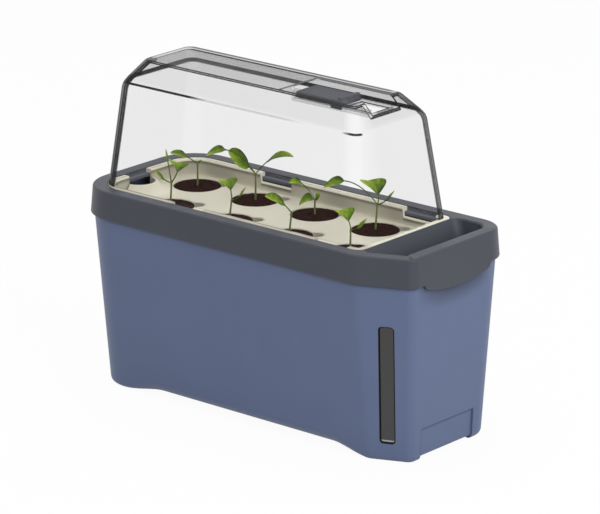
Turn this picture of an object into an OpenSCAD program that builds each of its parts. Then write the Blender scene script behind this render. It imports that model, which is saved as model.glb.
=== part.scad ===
// Windowsill herb planter: a water tub with a level window, a lift-off frame with a side trough,
// a tray of plug cells with wicks, coir plugs with seedlings, and a clear hood with a sliding vent.
// Millimetres. +X runs along the length, +Y to the back, +Z up, origin on the ground under the middle.

/* [Frame] */
// Length of the frame along its top edge
frame_l = 380; // [370:1:420]
// Width of the frame along its top edge
frame_w = 158.4; // [152:0.2:180]
// Height of the frame's top face above the ground
frame_top = 190.3; // [182:0.1:220]
// Height of the skirt that hangs outside the tub
skirt_h = 25.9; // [23:0.1:32]
// How far the skirt flares out at its lower edge
skirt_flare = 2; // [1:0.1:4]
// Thickness of the frame's skirt, collar and trough walls
frame_wall = 2.2; // [1.6:0.1:3]
// Thickness of the frame's top land
land_t = 3; // [2:0.1:3.4]
// Width of the land between the frame's edge and its openings
land_w = 13.8; // [12:0.1:16]
// Corner radius at the right end of the opening for the tray
open_right_r = 8; // [6.5:0.5:12]
// Bevel along the top outer edge of the frame
land_bevel = 1.6; // [0.5:0.1:2.5]
// Corner radius at the left end of the frame
left_r = 42; // [30:1:50]
// Corner radius at the right back of the frame
back_r = 30; // [24:1:40]
// Radius where the front face turns into the facet
facet_r = 20; // [12:1:30]
// Radius where the facet turns into the right end
front_r = 9; // [7:0.5:14]
// Run along X of the facet at the frame's front right corner
facet_run = 50; // [44:1:60]
// Angle of the facet to the front face
facet_angle = 23.3; // [18:0.1:28]

/* [Trough and grip] */
// Length of the trough along X
trough_l = 38; // [30:1:44]
// Depth of the trough below the frame's top
trough_depth = 27; // [15:1:34]
// How far the trough's left wall slopes in at the floor
trough_slope = 8; // [2:0.5:12]
// Draft of the trough's other walls
trough_draft = 2; // [1:0.5:4]
// Radius of the trough's back right corner
trough_r = 16; // [6:1:20]
// Small radius of the trough's other corners
trough_small_r = 4; // [2:0.5:6]
// Height that the grip lip hangs below the skirt
lip_drop = 9.8; // [4:0.1:14]
// Length of the grip lip along the skirt
lip_l = 92; // [50:1:92]
// Middle of the grip lip along Y
lip_mid = 2; // [-5:1:3]

/* [Tub] */
// How far the tub's left end draws in at the ground
base_in_left = 10.5; // [4:0.5:16]
// How far the tub's right end draws in at the ground
base_in_right = 7; // [3:0.5:14]
// How far the tub's long sides draw in at the ground
base_in_side = 14.2; // [8:0.2:22]
// How much shorter the facet's run is at the ground
base_in_facet = 12; // [4:0.5:14]
// Share by which the round corners tighten at the ground
base_tight = 0.25; // [0:0.05:0.4]
// Wall thickness of the tub
tub_wall = 2.5; // [2:0.1:3.2]
// Thickness of the tub's rim inside the skirt
rim_t = 2.4; // [1.8:0.1:3]
// Gap between the tub's shoulder and the skirt
shoulder_gap = 0.8; // [0.5:0.1:1.2]
// Gap between the tub's rim and the skirt
rim_gap = 0.4; // [0.3:0.05:0.6]
// Height inside the skirt at which the tub steps in to its rim
shoulder_rise = 1.4; // [0.5:0.1:4]
// Depth of the slope inside the tub below its rim
shoulder_slope = 7; // [4:0.5:12]
// Rounding of the tub's lower edge
base_round = 5; // [2:0.5:8]
// Height of the arch between the feet on the long sides
arch_h = 5; // [4.4:0.2:9]
// Half length of the flat part of the arch
arch_half = 105; // [80:1:115]
// Run of the ramp from the arch down to a foot
arch_ramp = 35; // [20:1:45]
// Height of the arch between the feet at the ends
end_arch_h = 2.8; // [1:0.1:4]
// Thickness of the tub's floor above the arch
floor_t = 3; // [2:0.1:4]
// Width of the sunk panel on the right end
panel_w = 71.6; // [50:0.2:76]
// Height of the top edge of the sunk panel
panel_h = 29; // [18:0.5:40]
// Depth of the sunk panel
panel_depth = 1.2; // [0.6:0.1:1.4]

/* [Level window] */
// Width of the window slot across the facet
window_w = 13.7; // [9:0.1:17]
// Height of the window slot's lower edge above the ground
window_low = 17.5; // [14.5:0.5:30]
// Height of the window slot's upper edge above the ground
window_high = 126.5; // [90:0.5:140]
// Corner radius of the window slot
window_r = 3; // [1:0.5:4]
// Depth of the window pane behind the facet
window_set = 1.5; // [0.8:0.1:1.8]
// Gap between the pane and its slot
window_gap = 0.3; // [0.2:0.05:0.5]
// Width of the clamping flange round the pane
window_flange = 2.4; // [1.5:0.1:3]
// Thickness of the clamping flange
window_flange_t = 2; // [1.2:0.1:3]
// Thickness of the gasket behind the window
gasket_t = 1; // [0.6:0.1:1.6]

/* [Tray] */
// Height of the ledge that carries the tray, below the frame's top
ledge_drop = 4; // [3.4:0.1:6]
// Width of the ledge
ledge_w = 5; // [3:0.1:6]
// Thickness of the ledge
ledge_t = 3; // [2:0.1:4]
// Gap between the tray and the frame
tray_gap = 0.4; // [0.3:0.05:0.6]
// Thickness of the tray's flange
flange_t = 3.8; // [2:0.1:3.8]
// Thickness of the tray's walls
tray_wall = 1.6; // [1.2:0.1:2.4]
// Depth of the tray's floor below its flange
tray_depth = 15.8; // [12:0.1:20]
// Thickness of the tray's floor
tray_floor_t = 2; // [1.4:0.1:3]
// Depth of the cut-outs in the long walls below the flange's top
cutout_depth = 7.8; // [4:0.2:9]
// Length of each cut-out
cutout_l = 37; // [20:1:44]
// Left cut-out's middle along X
cutout_left = -65.5; // [-90:0.5:-56]
// Right cut-out's middle along X
cutout_right = 102.5; // [80:0.5:106]
// Radius of the filler opening at the left end
filler_r = 15; // [10:0.5:18]
// Middle of the filler opening along Y
filler_y = -12; // [-20:1:0]
// Height of the collar round the filler opening above the tray's floor
filler_collar = 8.4; // [4:0.2:10]

/* [Cells, plugs and wicks] */
// Radius of a cell at the tray's floor
cell_r = 22.4; // [20:0.1:23]
// Radius of a cell at its bottom
cell_low_r = 18; // [16:0.1:19]
// Depth of a cell below the tray's floor
cell_depth = 58.6; // [40:0.1:75]
// Wall of a cell
cell_wall = 1.4; // [1:0.1:2]
// Gap between the end cells and the tray's end walls
cell_end = 8.6; // [4:0.1:12]
// Gap between the cells and the tray's long walls
cell_side = 4.1; // [3:0.1:8]
// How far the front row is set to the right of the back row
row_shift = 24; // [10:1:30]
// Radius of the finger notch beside a cell
notch_r = 6.5; // [4:0.1:7]
// How far the notch's middle lies outside its cell's edge
notch_out = 2.2; // [0:0.1:3]
// Depth of the finger notch below the tray's floor
notch_depth = 8; // [4:0.5:14]
// Depth of the soil below the tray's floor
soil_drop = 0.5; // [0.5:0.1:6]
// Gap between a plug and its cell
plug_gap = 0.4; // [0.3:0.05:0.6]
// Radius of a wick's stem
wick_r = 4.5; // [2.5:0.1:6]
// Gap between a wick and the hole in its cell
wick_gap = 0.5; // [0.3:0.05:0.8]
// Radius of the wick's head under the plug
wick_head_r = 9; // [7.5:0.5:14]
// Thickness of the wick's head
wick_head_t = 1.5; // [0.8:0.1:3]
// Gap between a wick's lower end and the tub's floor
wick_low = 5; // [2:0.5:12]

/* [Seedlings] */
// Radius of a seedling's stem at the soil
stem_r = 1.2; // [0.8:0.1:2]
// Radius of a seedling's stem at the leaves
stem_top_r = 0.9; // [0.6:0.1:1.6]
// Gap round the stem in the plug's planting hole
stem_gap = 0.3; // [0.2:0.05:0.6]
// Depth of the planting hole in a plug
stem_root = 9; // [4:0.5:20]
// Thickness of a leaf along its midrib
leaf_t = 1.1; // [0.7:0.1:2]
// Rise of a leaf's edges above its midrib, as a share of half its width
leaf_fold = 0.3; // [0:0.05:0.6]

/* [Hood] */
// Gap between the hood's foot and the frame's opening
hood_in = 3.9; // [1:0.1:5]
// Height of the bend in the hood's walls above the tray's flange
hood_bend = 96; // [80:0.1:130]
// Height of the sloped band between the bend and the roof
hood_band = 20; // [14:0.5:26]
// How far the left wall leans in from the foot to the bend
lean_left = 12.5; // [6:0.5:22]
// How far the other walls lean in from the foot to the bend
lean = 11.5; // [6:0.5:18]
// Run of the sloped band on the left
band_left = 13; // [8:0.5:20]
// Run of the sloped band on the other sides
band = 17.8; // [10:0.2:20]
// Wall thickness of the hood
hood_t = 2; // [1.2:0.1:2.6]
// Corner radius at the left of the hood's foot
hood_left_r = 17; // [17:1:30]
// Corner radius at the right of the hood's foot
hood_right_r = 8; // [5:0.5:12]
// Corner radius at the left of the bend
bend_left_r = 9; // [2:0.5:24]
// Corner radius at the left of the roof
roof_left_r = 9; // [4:0.5:14]
// Corner radius at the right of the roof
roof_right_r = 4; // [4:0.5:12]

/* [Vent] */
// Length of the vent channel to the roof's right edge
vent_l = 85; // [70:1:110]
// Width of the vent channel
vent_w = 36.4; // [30:0.2:44]
// Depth of the vent channel
vent_depth = 9.6; // [8:0.2:12]
// Corner cut at the channel's closed end
vent_corner = 4; // [2:0.5:6]
// Gap between a rail and the channel's wall
rail_gap = 1; // [0.5:0.1:2]
// Thickness of the rails that hold the slider
rail_t = 1.5; // [1:0.1:2]
// Overhang of a rail's lip over the slider's flange
rail_lip = 1.5; // [1:0.1:2]
// Distance from the channel's closed end to the rails
rail_start = 8; // [6.5:0.5:14]
// Distance from the channel's closed end to the slider
slider_start = 2; // [1:0.1:3]
// Length of the slider
slider_l = 52; // [40:0.5:54]
// Height of the slider above the channel's floor
slider_h = 5.2; // [4.4:0.1:6]
// Thickness of the slider's side flanges
slider_flange_t = 1.5; // [1:0.1:2]
// Running gap of the slider
slider_gap = 0.3; // [0.25:0.05:0.5]
// Length of the finger rib at the slider's right end
rib_l = 4.4; // [3:0.2:8]
// Distance from the slider's sides to the finger rib's ends
rib_in = 0.9; // [0.5:0.1:5]
// Height of the finger rib above the slider
rib_h = 2.2; // [1.5:0.1:3.4]
// Gap from the slider's end to the vent opening
vent_edge = 3; // [2:0.5:6]
// Width of the vent opening
vent_open_w = 22; // [14:0.5:24]
// Distance from the vent opening to the channel's open end
vent_lip = 6; // [5:0.5:9]
// Thickness of the stop at the channel's open end
stop_t = 2; // [1.2:0.1:3]

/* [Hidden] */
// Cells of the tray, in two rows, each with a plug, a seedling and a wick
cells_in_row = 4;
plants = 2 * cells_in_row;

// Pieces of arc in a rounded corner, and facets of round parts
corner_steps = 10;
// Cuts along the grip lip's lower edge, and the power that shapes it
lip_steps = 24;
lip_full = 0.42;
$fn = 64;
// Overshoot of a cut past the face it opens
past = 1;

blue = "#5d6882";
dark_grey = "#4c5058";
cream = "#ded6be";
smoke = "#42403e";
black = "#1d1d1f";
clear = [0.86, 0.9, 0.92, 0.35];
coir = "#3a2018";
leaf_green = "#5d9630";
felt = "#d9d4c8";

// Heights
skirt_z = frame_top - skirt_h;
rim_z = frame_top - land_t;
ledge_z = frame_top - ledge_drop;
flange_z = ledge_z + flange_t;
tray_floor = flange_z - tray_depth;
cell_floor = tray_floor - cell_depth;
soil_z = tray_floor - soil_drop;
plug_z = cell_floor + wick_head_t;
shoulder_z = skirt_z + shoulder_rise;
tub_floor = arch_h + floor_t;
bend_z = flange_z + hood_bend;
roof_z = bend_z + hood_band;
vent_floor = roof_z - vent_depth;

// Facet: its slope in plan, and how its run grows when the outline moves out by one
facet_slope = tan(facet_angle);
facet_gain = 1 - (1 / cos(facet_angle) - 1) / facet_slope;

// Opening of the frame over the tray, and the tray's inside
open_left = -frame_l / 2 + land_w;
open_right = frame_l / 2 - land_w - trough_l - frame_wall;
open_side = frame_w / 2 - land_w;
open_left_r = left_r - land_w;
wall_in = ledge_w + tray_gap;
well_in = wall_in + tray_wall;

// Cells: a back row and a front row, numbered from the left, back row first
first_x = open_left + well_in + cell_end + cell_r;
cell_pitch = (open_right - open_left - 2 * (well_in + cell_end + cell_r) - row_shift) / (cells_in_row - 1);
row_y = open_side - well_in - cell_side - cell_r;
function cell_at(i) =
    let (front = i > cells_in_row)
    let (place = (i - 1) % cells_in_row)
    [first_x + place * cell_pitch + (front ? row_shift : 0), front ? -row_y : row_y];
// Middle of a finger notch from its cell's axis, to the back right
notch_at = (cell_r + notch_out) * [sqrt(0.5), sqrt(0.5)];

// Seedlings in the order of the cells: height of the stem above the soil
stem_h = [21.6, 25.5, 14.7, 24.6, 22.5, 19.9, 22.1, 20.2];
// where a leaf's blade is widest: a plain leaf towards its stalk, a broad one towards its tip
plain = 0.8;
broad = 2;
// and for each leaf its heading in plan, reach, rise of its tip, arch, sideways sway, width, roll,
// share of stalk and where it is widest
leaves = [
    [[215, 24.9, 9.8, 3, 0, 9, -25, 0.4, plain], [75, 5, 2.5, 0.5, 0, 4, 0, 0.3, plain]],
    [[200, 26.1, 19.1, 2, 0, 15, -55, 0.26, plain], [212, 45.4, 15.5, 13, 0, 9, -35, 0.62, plain],
        [15, 38.5, 20.9, 8, 0, 8.5, 30, 0.3, plain]],
    [[222, 14.1, -4.6, 4, 0, 10, -35, 0.15, plain], [50, 4.8, 5.4, 0.5, 0, 8, 35, 0.1, plain],
        [225, 23.6, 16.5, 7.5, 0, 8, -30, 0.5, plain]],
    [[166, 10.7, 19.3, -1.5, -6, 28, 8, 0.42, broad], [40, 16.7, 12.7, -3, 0, 5, 20, 0.5, plain],
        [208, 46.8, 12.9, 12.5, 0, 10.5, -40, 0.64, plain]],
    [[110, 16, 14.9, 2.8, -3.7, 20, 8, 0.42, broad], [220, 13.7, 12.2, -2, 0, 6, -30, 0.45, plain],
        [152, 10.7, 28.5, 0, 0, 2, 0, 0.6, plain]],
    [[147, 9.4, 16.4, 1.4, -1.4, 18, 0, 0.42, broad], [40, 15.5, 12.8, -3, 0, 5, 25, 0.5, plain]],
    [[205, 21.9, 13.9, 4, 0, 9.5, -30, 0.28, plain], [330, 8, 3, 1, 0, 5, 0, 0.36, plain]],
    [[171, 12.1, 15.7, 0, -2.6, 23, 6, 0.42, broad], [40, 14.2, 10.5, -2.5, 0, 6.5, 25, 0.4, plain]]];
// Cuts along a leaf, half width of its tip, and the power that rounds its blade
leaf_steps = 10;
leaf_tip_w = 0.6;
blade_full = 0.7;

function unit(v) = v / norm(v);

// Points of the arc that rounds corner p between the edges to a and b
function corner_arc(a, p, b, r) =
    let (u = unit(a - p))
    let (v = unit(b - p))
    let (half = acos(u * v) / 2)
    let (c = p + unit(u + v) * r / sin(half))
    let (spoke = p + u * r / tan(half) - c)
    let (from = atan2(spoke.y, spoke.x))
    let (turn = (180 - 2 * half) / corner_steps)
    [for (i = [0:corner_steps]) c + r * [cos(from + turn * i), sin(from + turn * i)]];

// Convex outline, anticlockwise, with each corner rounded by its own radius
function rounded(pts, radii) =
    let (n = len(pts))
    [for (i = [0:n - 1]) each corner_arc(pts[(i + n - 1) % n], pts[i], pts[(i + 1) % n], radii[i])];

function at_height(outline, z) = [for (p = outline) [p.x, p.y, z]];

// Outline of the casing: round left corners, a facet at the front right, a round back right corner
function case_plan(left, right, side, run, tight, grow) =
    let (soft = 1 - tight)
    let (run_here = run + grow * facet_gain)
    let (x0 = left - grow)
    let (x1 = right + grow)
    let (y = side + grow)
    rounded(
        [[x0, -y], [x1 - run_here, -y], [x1, -y + run_here * facet_slope], [x1, y], [x0, y]],
        [for (r = [soft * left_r, facet_r, front_r, soft * back_r, soft * left_r]) max(r + grow, 1)]);

function frame_plan(grow) = case_plan(-frame_l / 2, frame_l / 2, frame_w / 2, facet_run, 0, grow);

// Outline of the tub's wall at a height, between the ground and the shoulder
shoulder_grow = skirt_flare - frame_wall - shoulder_gap;
function drawn_in(z) = 1 - z / shoulder_z;
function wall_left(z) = -frame_l / 2 - shoulder_grow + base_in_left * drawn_in(z);
function wall_right(z) = frame_l / 2 + shoulder_grow - base_in_right * drawn_in(z);
function wall_side(z) = frame_w / 2 + shoulder_grow - base_in_side * drawn_in(z);
function wall_run(z) = facet_run + shoulder_grow * facet_gain - base_in_facet * drawn_in(z);
function wall_tight(z) = base_tight * drawn_in(z);
function wall_plan(z, grow) =
    case_plan(wall_left(z), wall_right(z), wall_side(z), wall_run(z), wall_tight(z), grow);

// Middle of the facet at a height, and how far the facet leans out
function facet_mid(z) = [wall_right(z) - wall_run(z) / 2, wall_run(z) / 2 * facet_slope - wall_side(z)];
function facet_reach(z) = (wall_right(z) - wall_run(z)) * sin(facet_angle) + wall_side(z) * cos(facet_angle);
facet_lean = atan((facet_reach(shoulder_z) - facet_reach(0)) / shoulder_z);
window_mid = (window_low + window_high) / 2;
window_h = (window_high - window_low) / cos(facet_lean);

// Rounded box outline, with its own radii at the left and right ends
function box_plan(left, right, side, left_radius, right_radius) =
    rounded(
        [[left, -side], [right, -side], [right, side], [left, side]],
        [left_radius, right_radius, right_radius, left_radius]);

function open_plan(inset) =
    box_plan(open_left + inset, open_right - inset, open_side - inset,
        max(open_left_r - inset, 1), max(open_right_r - inset, 1));

// Trough: the frame's outline inside the land, right of the partition
trough_left = frame_l / 2 - land_w - trough_l;
trough_right = frame_l / 2 - land_w;
trough_run = facet_run - land_w * facet_gain;
function trough_plan(left, grow) =
    let (x1 = trough_right + grow)
    let (run_here = trough_run + grow * facet_gain)
    let (y = open_side + grow)
    let (start_y = -y + max(left - (x1 - run_here), 0) * facet_slope)
    rounded(
        [[left, start_y], [x1, -y + run_here * facet_slope], [x1, y], [left, y]],
        [trough_small_r, trough_small_r, trough_r, trough_small_r]);

// Hood: outlines of the foot, the bend and the roof
function hood_foot(inset) =
    box_plan(open_left + hood_in + inset, open_right - hood_in - inset, open_side - hood_in - inset,
        max(hood_left_r - inset, 1), max(hood_right_r - inset, 1));
bend_left = open_left + hood_in + lean_left;
bend_right = open_right - hood_in - lean;
bend_side = open_side - hood_in - lean;
function hood_bend_plan(inset) =
    box_plan(bend_left + inset, bend_right - inset, bend_side - inset,
        max(bend_left_r - inset, 1), max(hood_right_r - inset, 1));
roof_right = bend_right - band;
function hood_roof(inset) =
    box_plan(bend_left + band_left + inset, roof_right - inset, bend_side - band - inset,
        max(roof_left_r - inset, 1), max(roof_right_r - inset, 1));
roof_in = hood_t * (sqrt(band * band + hood_band * hood_band) - band) / hood_band;

// Vent channel, its slider and its rails along X and across Y
vent_left = roof_right - vent_l;
vent_right = roof_right + band * vent_depth / hood_band;
slider_left = vent_left + slider_start;
slider_right = slider_left + slider_l;
rail_out = vent_w / 2 - rail_gap;
rail_in = rail_out - rail_t;
flange_half = rail_in - slider_gap;
lip_in = flange_half - rail_lip + slider_gap;
slider_half = lip_in - slider_gap;
lip_z = vent_floor + slider_flange_t + 2 * slider_gap;
stop_right = vent_right - stop_t;
function channel_plan(grow) =
    let (half = vent_w / 2 + grow)
    let (cut = vent_corner + grow * (2 - sqrt(2)))
    let (x0 = vent_left - grow)
    let (x1 = frame_l / 2)
    [[x0 + cut, -half], [x1, -half], [x1, half], [x0 + cut, half], [x0, half - cut], [x0, cut - half]];

// Solid through a list of rings that have equal numbers of points, lowest ring first
module loft(rings) {
    n = len(rings[0]);
    last = len(rings) - 1;
    polyhedron(
        points = [for (ring = rings) each ring],
        faces = concat(
            [[for (i = [0:n - 1]) i]],
            [for (k = [0:last - 1], i = [0:n - 1])
                [k * n + i, (k + 1) * n + i, (k + 1) * n + (i + 1) % n]],
            [for (k = [0:last - 1], i = [0:n - 1])
                [k * n + i, (k + 1) * n + (i + 1) % n, k * n + (i + 1) % n]],
            [[for (i = [n - 1:-1:0]) last * n + i]]));
}

// Straight prism of an outline between two heights
module prism(outline, low, high) {
    translate([0, 0, low])
        linear_extrude(high - low)
            polygon(outline);
}

// Block between two corners
module block(low, high) {
    translate(low)
        cube(high - low);
}

// Rounded plate on the facet, between two distances out from its outer face
module facet_plate(width, height, radius, inner, outer) {
    middle = facet_mid(window_mid);
    corners = [[-width, -height], [width, -height], [width, height], [-width, height]] / 2;
    translate([middle.x, middle.y, window_mid])
        rotate([facet_lean, 0, facet_angle])
            rotate([90, 0, 0])
                prism(rounded(corners, [radius, radius, radius, radius]), inner, outer);
}

module tub() {
    round_mid = base_round * (1 - sqrt(0.5));
    color(blue)
        difference() {
            loft([
                at_height(wall_plan(0, -base_round), 0),
                at_height(wall_plan(round_mid, -round_mid), round_mid),
                at_height(wall_plan(base_round, 0), base_round),
                at_height(wall_plan(shoulder_z, 0), shoulder_z),
                at_height(frame_plan(-frame_wall - rim_gap), shoulder_z),
                at_height(frame_plan(-frame_wall - rim_gap), rim_z)]);
            loft([
                at_height(wall_plan(tub_floor, -tub_wall), tub_floor),
                at_height(wall_plan(shoulder_z - shoulder_slope, -tub_wall), shoulder_z - shoulder_slope),
                at_height(frame_plan(-frame_wall - rim_gap - rim_t), shoulder_z),
                at_height(frame_plan(-frame_wall - rim_gap - rim_t), rim_z + past)]);
            foot_arch();
            block([-frame_l / 2, -panel_w / 2, -past], [frame_l / 2, panel_w / 2, end_arch_h]);
            end_panel();
            facet_plate(window_w, window_h, window_r, -tub_wall - past, past);
        }
}

// Room under the tub between its feet, across the whole width
module foot_arch() {
    foot = arch_half + arch_ramp;
    rotate([90, 0, 0])
        linear_extrude(frame_w, center = true)
            polygon([
                [-foot, -past], [foot, -past], [foot, 0],
                [arch_half, arch_h], [-arch_half, arch_h], [-foot, 0]]);
}

// Shallow sunk panel that follows the lean of the right end
module end_panel() {
    translate([wall_right(0), 0, 0])
        rotate([0, atan(base_in_right / shoulder_z), 0])
            block([-panel_depth, -panel_w / 2, -past], [panel_depth, panel_w / 2, panel_h]);
}

module level_window() {
    seat = -tub_wall - gasket_t;
    color(smoke)
        union() {
            facet_plate(window_w - 2 * window_gap, window_h - 2 * window_gap, window_r - window_gap,
                seat, -window_set);
            facet_plate(window_w + 2 * window_flange, window_h + 2 * window_flange, window_r,
                seat - window_flange_t, seat);
        }
}

module window_gasket() {
    color(black)
        difference() {
            facet_plate(window_w + 2 * window_flange, window_h + 2 * window_flange, window_r,
                -tub_wall - gasket_t, -tub_wall);
            facet_plate(window_w, window_h, window_r, -tub_wall - gasket_t - past, past);
        }
}

module frame() {
    color(dark_grey)
        difference() {
            union() {
                difference() {
                    loft([
                        at_height(frame_plan(skirt_flare), skirt_z),
                        at_height(frame_plan(0), frame_top - land_bevel),
                        at_height(frame_plan(-land_bevel), frame_top)]);
                    loft([
                        at_height(frame_plan(skirt_flare - frame_wall), skirt_z - past),
                        at_height(frame_plan(-frame_wall), rim_z)]);
                }
                prism(open_plan(-frame_wall), ledge_z - ledge_t, rim_z + land_t / 2);
                trough_shell();
                grip_lip();
            }
            prism(open_plan(0), ledge_z, frame_top + past);
            prism(open_plan(ledge_w), skirt_z - past, frame_top);
            trough_pocket();
        }
}

module trough_shell() {
    low = frame_top - trough_depth - frame_wall;
    loft([
        at_height(trough_plan(trough_left + trough_slope - frame_wall, frame_wall - trough_draft), low),
        at_height(trough_plan(trough_left - frame_wall, frame_wall), rim_z + land_t / 2)]);
}

module trough_pocket() {
    low = frame_top - trough_depth;
    loft([
        at_height(trough_plan(trough_left + trough_slope, -trough_draft), low),
        at_height(trough_plan(trough_left, 0), frame_top + past)]);
}

// Lip under the skirt at the right end, to lift the frame by
module grip_lip() {
    out = frame_l / 2 + skirt_flare;
    front = lip_mid - lip_l / 2;
    curve = [for (k = [0:lip_steps])
        let (t = k / lip_steps)
        [front + lip_l * t, skirt_z - lip_drop * pow(sin(180 * t), lip_full)]];
    translate([out - frame_wall, 0, 0])
        rotate([90, 0, 90])
            linear_extrude(frame_wall)
                polygon(concat(curve, [[front + lip_l, skirt_z + past], [front, skirt_z + past]]));
}

module tray() {
    filler = [open_left + wall_in, filler_y];
    color(cream)
        difference() {
            union() {
                difference() {
                    union() {
                        prism(open_plan(tray_gap), ledge_z, flange_z);
                        prism(open_plan(wall_in), tray_floor - tray_floor_t, flange_z);
                        for (i = [1:plants])
                            cell_shell(i);
                    }
                    prism(open_plan(well_in), tray_floor, flange_z + past);
                }
                intersection() {
                    translate([filler.x, filler.y, tray_floor - tray_floor_t])
                        cylinder(r = filler_r + tray_wall, h = tray_floor_t + filler_collar);
                    prism(open_plan(wall_in), tray_floor - tray_floor_t, flange_z);
                }
            }
            translate([filler.x, filler.y, tray_floor - tray_floor_t - past])
                cylinder(r = filler_r, h = tray_depth + tray_floor_t + 2 * past);
            for (i = [1:plants])
                cell_hollow(i);
            for (middle = [cutout_left, cutout_right])
                block(
                    [middle - cutout_l / 2, -frame_w / 2, flange_z - cutout_depth],
                    [middle + cutout_l / 2, frame_w / 2, flange_z + past]);
        }
}

// Outside of a cell under the tray's floor, with the shell of its finger notch
module cell_shell(i) {
    low = cell_floor - cell_wall;
    translate([cell_at(i).x, cell_at(i).y, 0]) {
        translate([0, 0, low])
            cylinder(r1 = cell_low_r + cell_wall, r2 = cell_r + cell_wall, h = tray_floor - low);
        translate([notch_at.x, notch_at.y, tray_floor - notch_depth - cell_wall])
            cylinder(r = notch_r + cell_wall, h = notch_depth + cell_wall);
    }
}

// Inside of a cell: the cone for the plug, the hole for the wick and the finger notch
module cell_hollow(i) {
    translate([cell_at(i).x, cell_at(i).y, 0]) {
        translate([0, 0, cell_floor])
            cylinder(r1 = cell_low_r, r2 = cell_r, h = cell_depth);
        translate([0, 0, tray_floor])
            cylinder(r = cell_r, h = past);
        translate([0, 0, cell_floor - cell_wall - past])
            cylinder(r = wick_r + wick_gap, h = cell_wall + 2 * past);
        translate([notch_at.x, notch_at.y, tray_floor - notch_depth])
            cylinder(r = notch_r, h = notch_depth + past);
    }
}

module wick(i) {
    low = tub_floor + wick_low;
    color(felt)
        translate([cell_at(i).x, cell_at(i).y, 0]) {
            translate([0, 0, low])
                cylinder(r = wick_r, h = cell_floor - low + wick_head_t / 2);
            translate([0, 0, cell_floor])
                cylinder(r = wick_head_r, h = wick_head_t);
        }
}

module plug(i) {
    grow = (cell_r - cell_low_r) / cell_depth;
    color(coir)
        translate([cell_at(i).x, cell_at(i).y, plug_z])
            difference() {
                cylinder(
                    r1 = cell_low_r - plug_gap + grow * wick_head_t,
                    r2 = cell_r - plug_gap - grow * soil_drop,
                    h = soil_z - plug_z);
                translate([0, 0, soil_z - plug_z - stem_root])
                    cylinder(r = stem_r + stem_gap, h = stem_root + past);
            }
}

module seedling(i) {
    color(leaf_green)
        translate([cell_at(i).x, cell_at(i).y, soil_z])
            union() {
                translate([0, 0, -stem_root])
                    cylinder(r = stem_r, h = stem_root);
                cylinder(r1 = stem_r, r2 = stem_top_r, h = stem_h[i - 1]);
                translate([0, 0, stem_h[i - 1] - stem_top_r])
                    for (shape = leaves[i - 1])
                        leaf(shape);
            }
}

// Leaf on its stalk from the stem's axis: its midrib rises and arches, its blade rolls and folds up
module leaf(shape) {
    reach = shape[1];
    rise = shape[2];
    arch = shape[3];
    sway = shape[4];
    roll = shape[6];
    aside = [0, cos(roll), sin(roll)];
    up = [0, -sin(roll), cos(roll)];
    rings = [for (k = [0:leaf_steps])
        let (t = k / leaf_steps)
        let (bow = 4 * t * (1 - t))
        let (half = leaf_half(t, shape[5] / 2, shape[7], shape[8]))
        let (rib = [reach * t, sway * bow, rise * t + arch * bow])
        let (edge = rib + up * leaf_fold * max(half - stem_top_r, 0))
        [edge - aside * half, rib - up * leaf_t / 2, edge + aside * half, rib + up * leaf_t / 2]];
    rotate([0, 0, shape[0]])
        loft(rings);
}

// Half width of a leaf along its length: a thin stalk, then a rounded blade with a small tip
function leaf_half(t, half, stalk, skew) =
    let (blade = max((t - stalk) / (1 - stalk), 0))
    max(stem_top_r * (1 - t) + leaf_tip_w * t, half * pow(sin(180 * pow(blade, skew)), blade_full));

module hood() {
    color(clear)
        difference() {
            union() {
                difference() {
                    hood_solid();
                    loft([
                        at_height(hood_foot(hood_t), flange_z - past),
                        at_height(hood_bend_plan(hood_t), bend_z),
                        at_height(hood_roof(roof_in), roof_z - hood_t)]);
                }
                intersection() {
                    hood_solid();
                    prism(channel_plan(hood_t), vent_floor - hood_t, roof_z);
                }
            }
            difference() {
                prism(channel_plan(0), vent_floor, roof_z + past);
                vent_rails();
            }
            block(
                [slider_right + vent_edge, -vent_open_w / 2, vent_floor - hood_t - past],
                [vent_right - vent_lip, vent_open_w / 2, vent_floor + past]);
        }
}

module hood_solid() {
    loft([
        at_height(hood_foot(0), flange_z),
        at_height(hood_bend_plan(0), bend_z),
        at_height(hood_roof(0), roof_z)]);
}

// Rails with inward lips over the slider's flanges, and a stop at the open end
module vent_rails() {
    from = vent_left + rail_start;
    for (side = [0, 1])
        mirror([0, side, 0]) {
            block([from, rail_in, vent_floor - past], [vent_right, rail_out, lip_z]);
            block([from, lip_in, lip_z], [vent_right, rail_out, lip_z + rail_t]);
        }
    block([stop_right, -vent_open_w / 2, vent_floor - past], [vent_right, vent_open_w / 2, lip_z]);
}

module vent_slider() {
    low = vent_floor + slider_gap;
    top = vent_floor + slider_h;
    rib_half = slider_half - rib_in;
    color(dark_grey)
        union() {
            block([slider_left, -flange_half, low], [slider_right, flange_half, low + slider_flange_t]);
            block([slider_left, -slider_half, low], [slider_right, slider_half, top]);
            block([slider_right - rib_l, -rib_half, low], [slider_right, rib_half, top + rib_h]);
        }
}

tub();
level_window();
window_gasket();
frame();
tray();
hood();
vent_slider();
for (i = [1:plants])
    plug(i);
for (i = [1:plants])
    seedling(i);
for (i = [1:plants])
    wick(i);
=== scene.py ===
import math

import bmesh
import bpy
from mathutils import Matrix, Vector, noise


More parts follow.
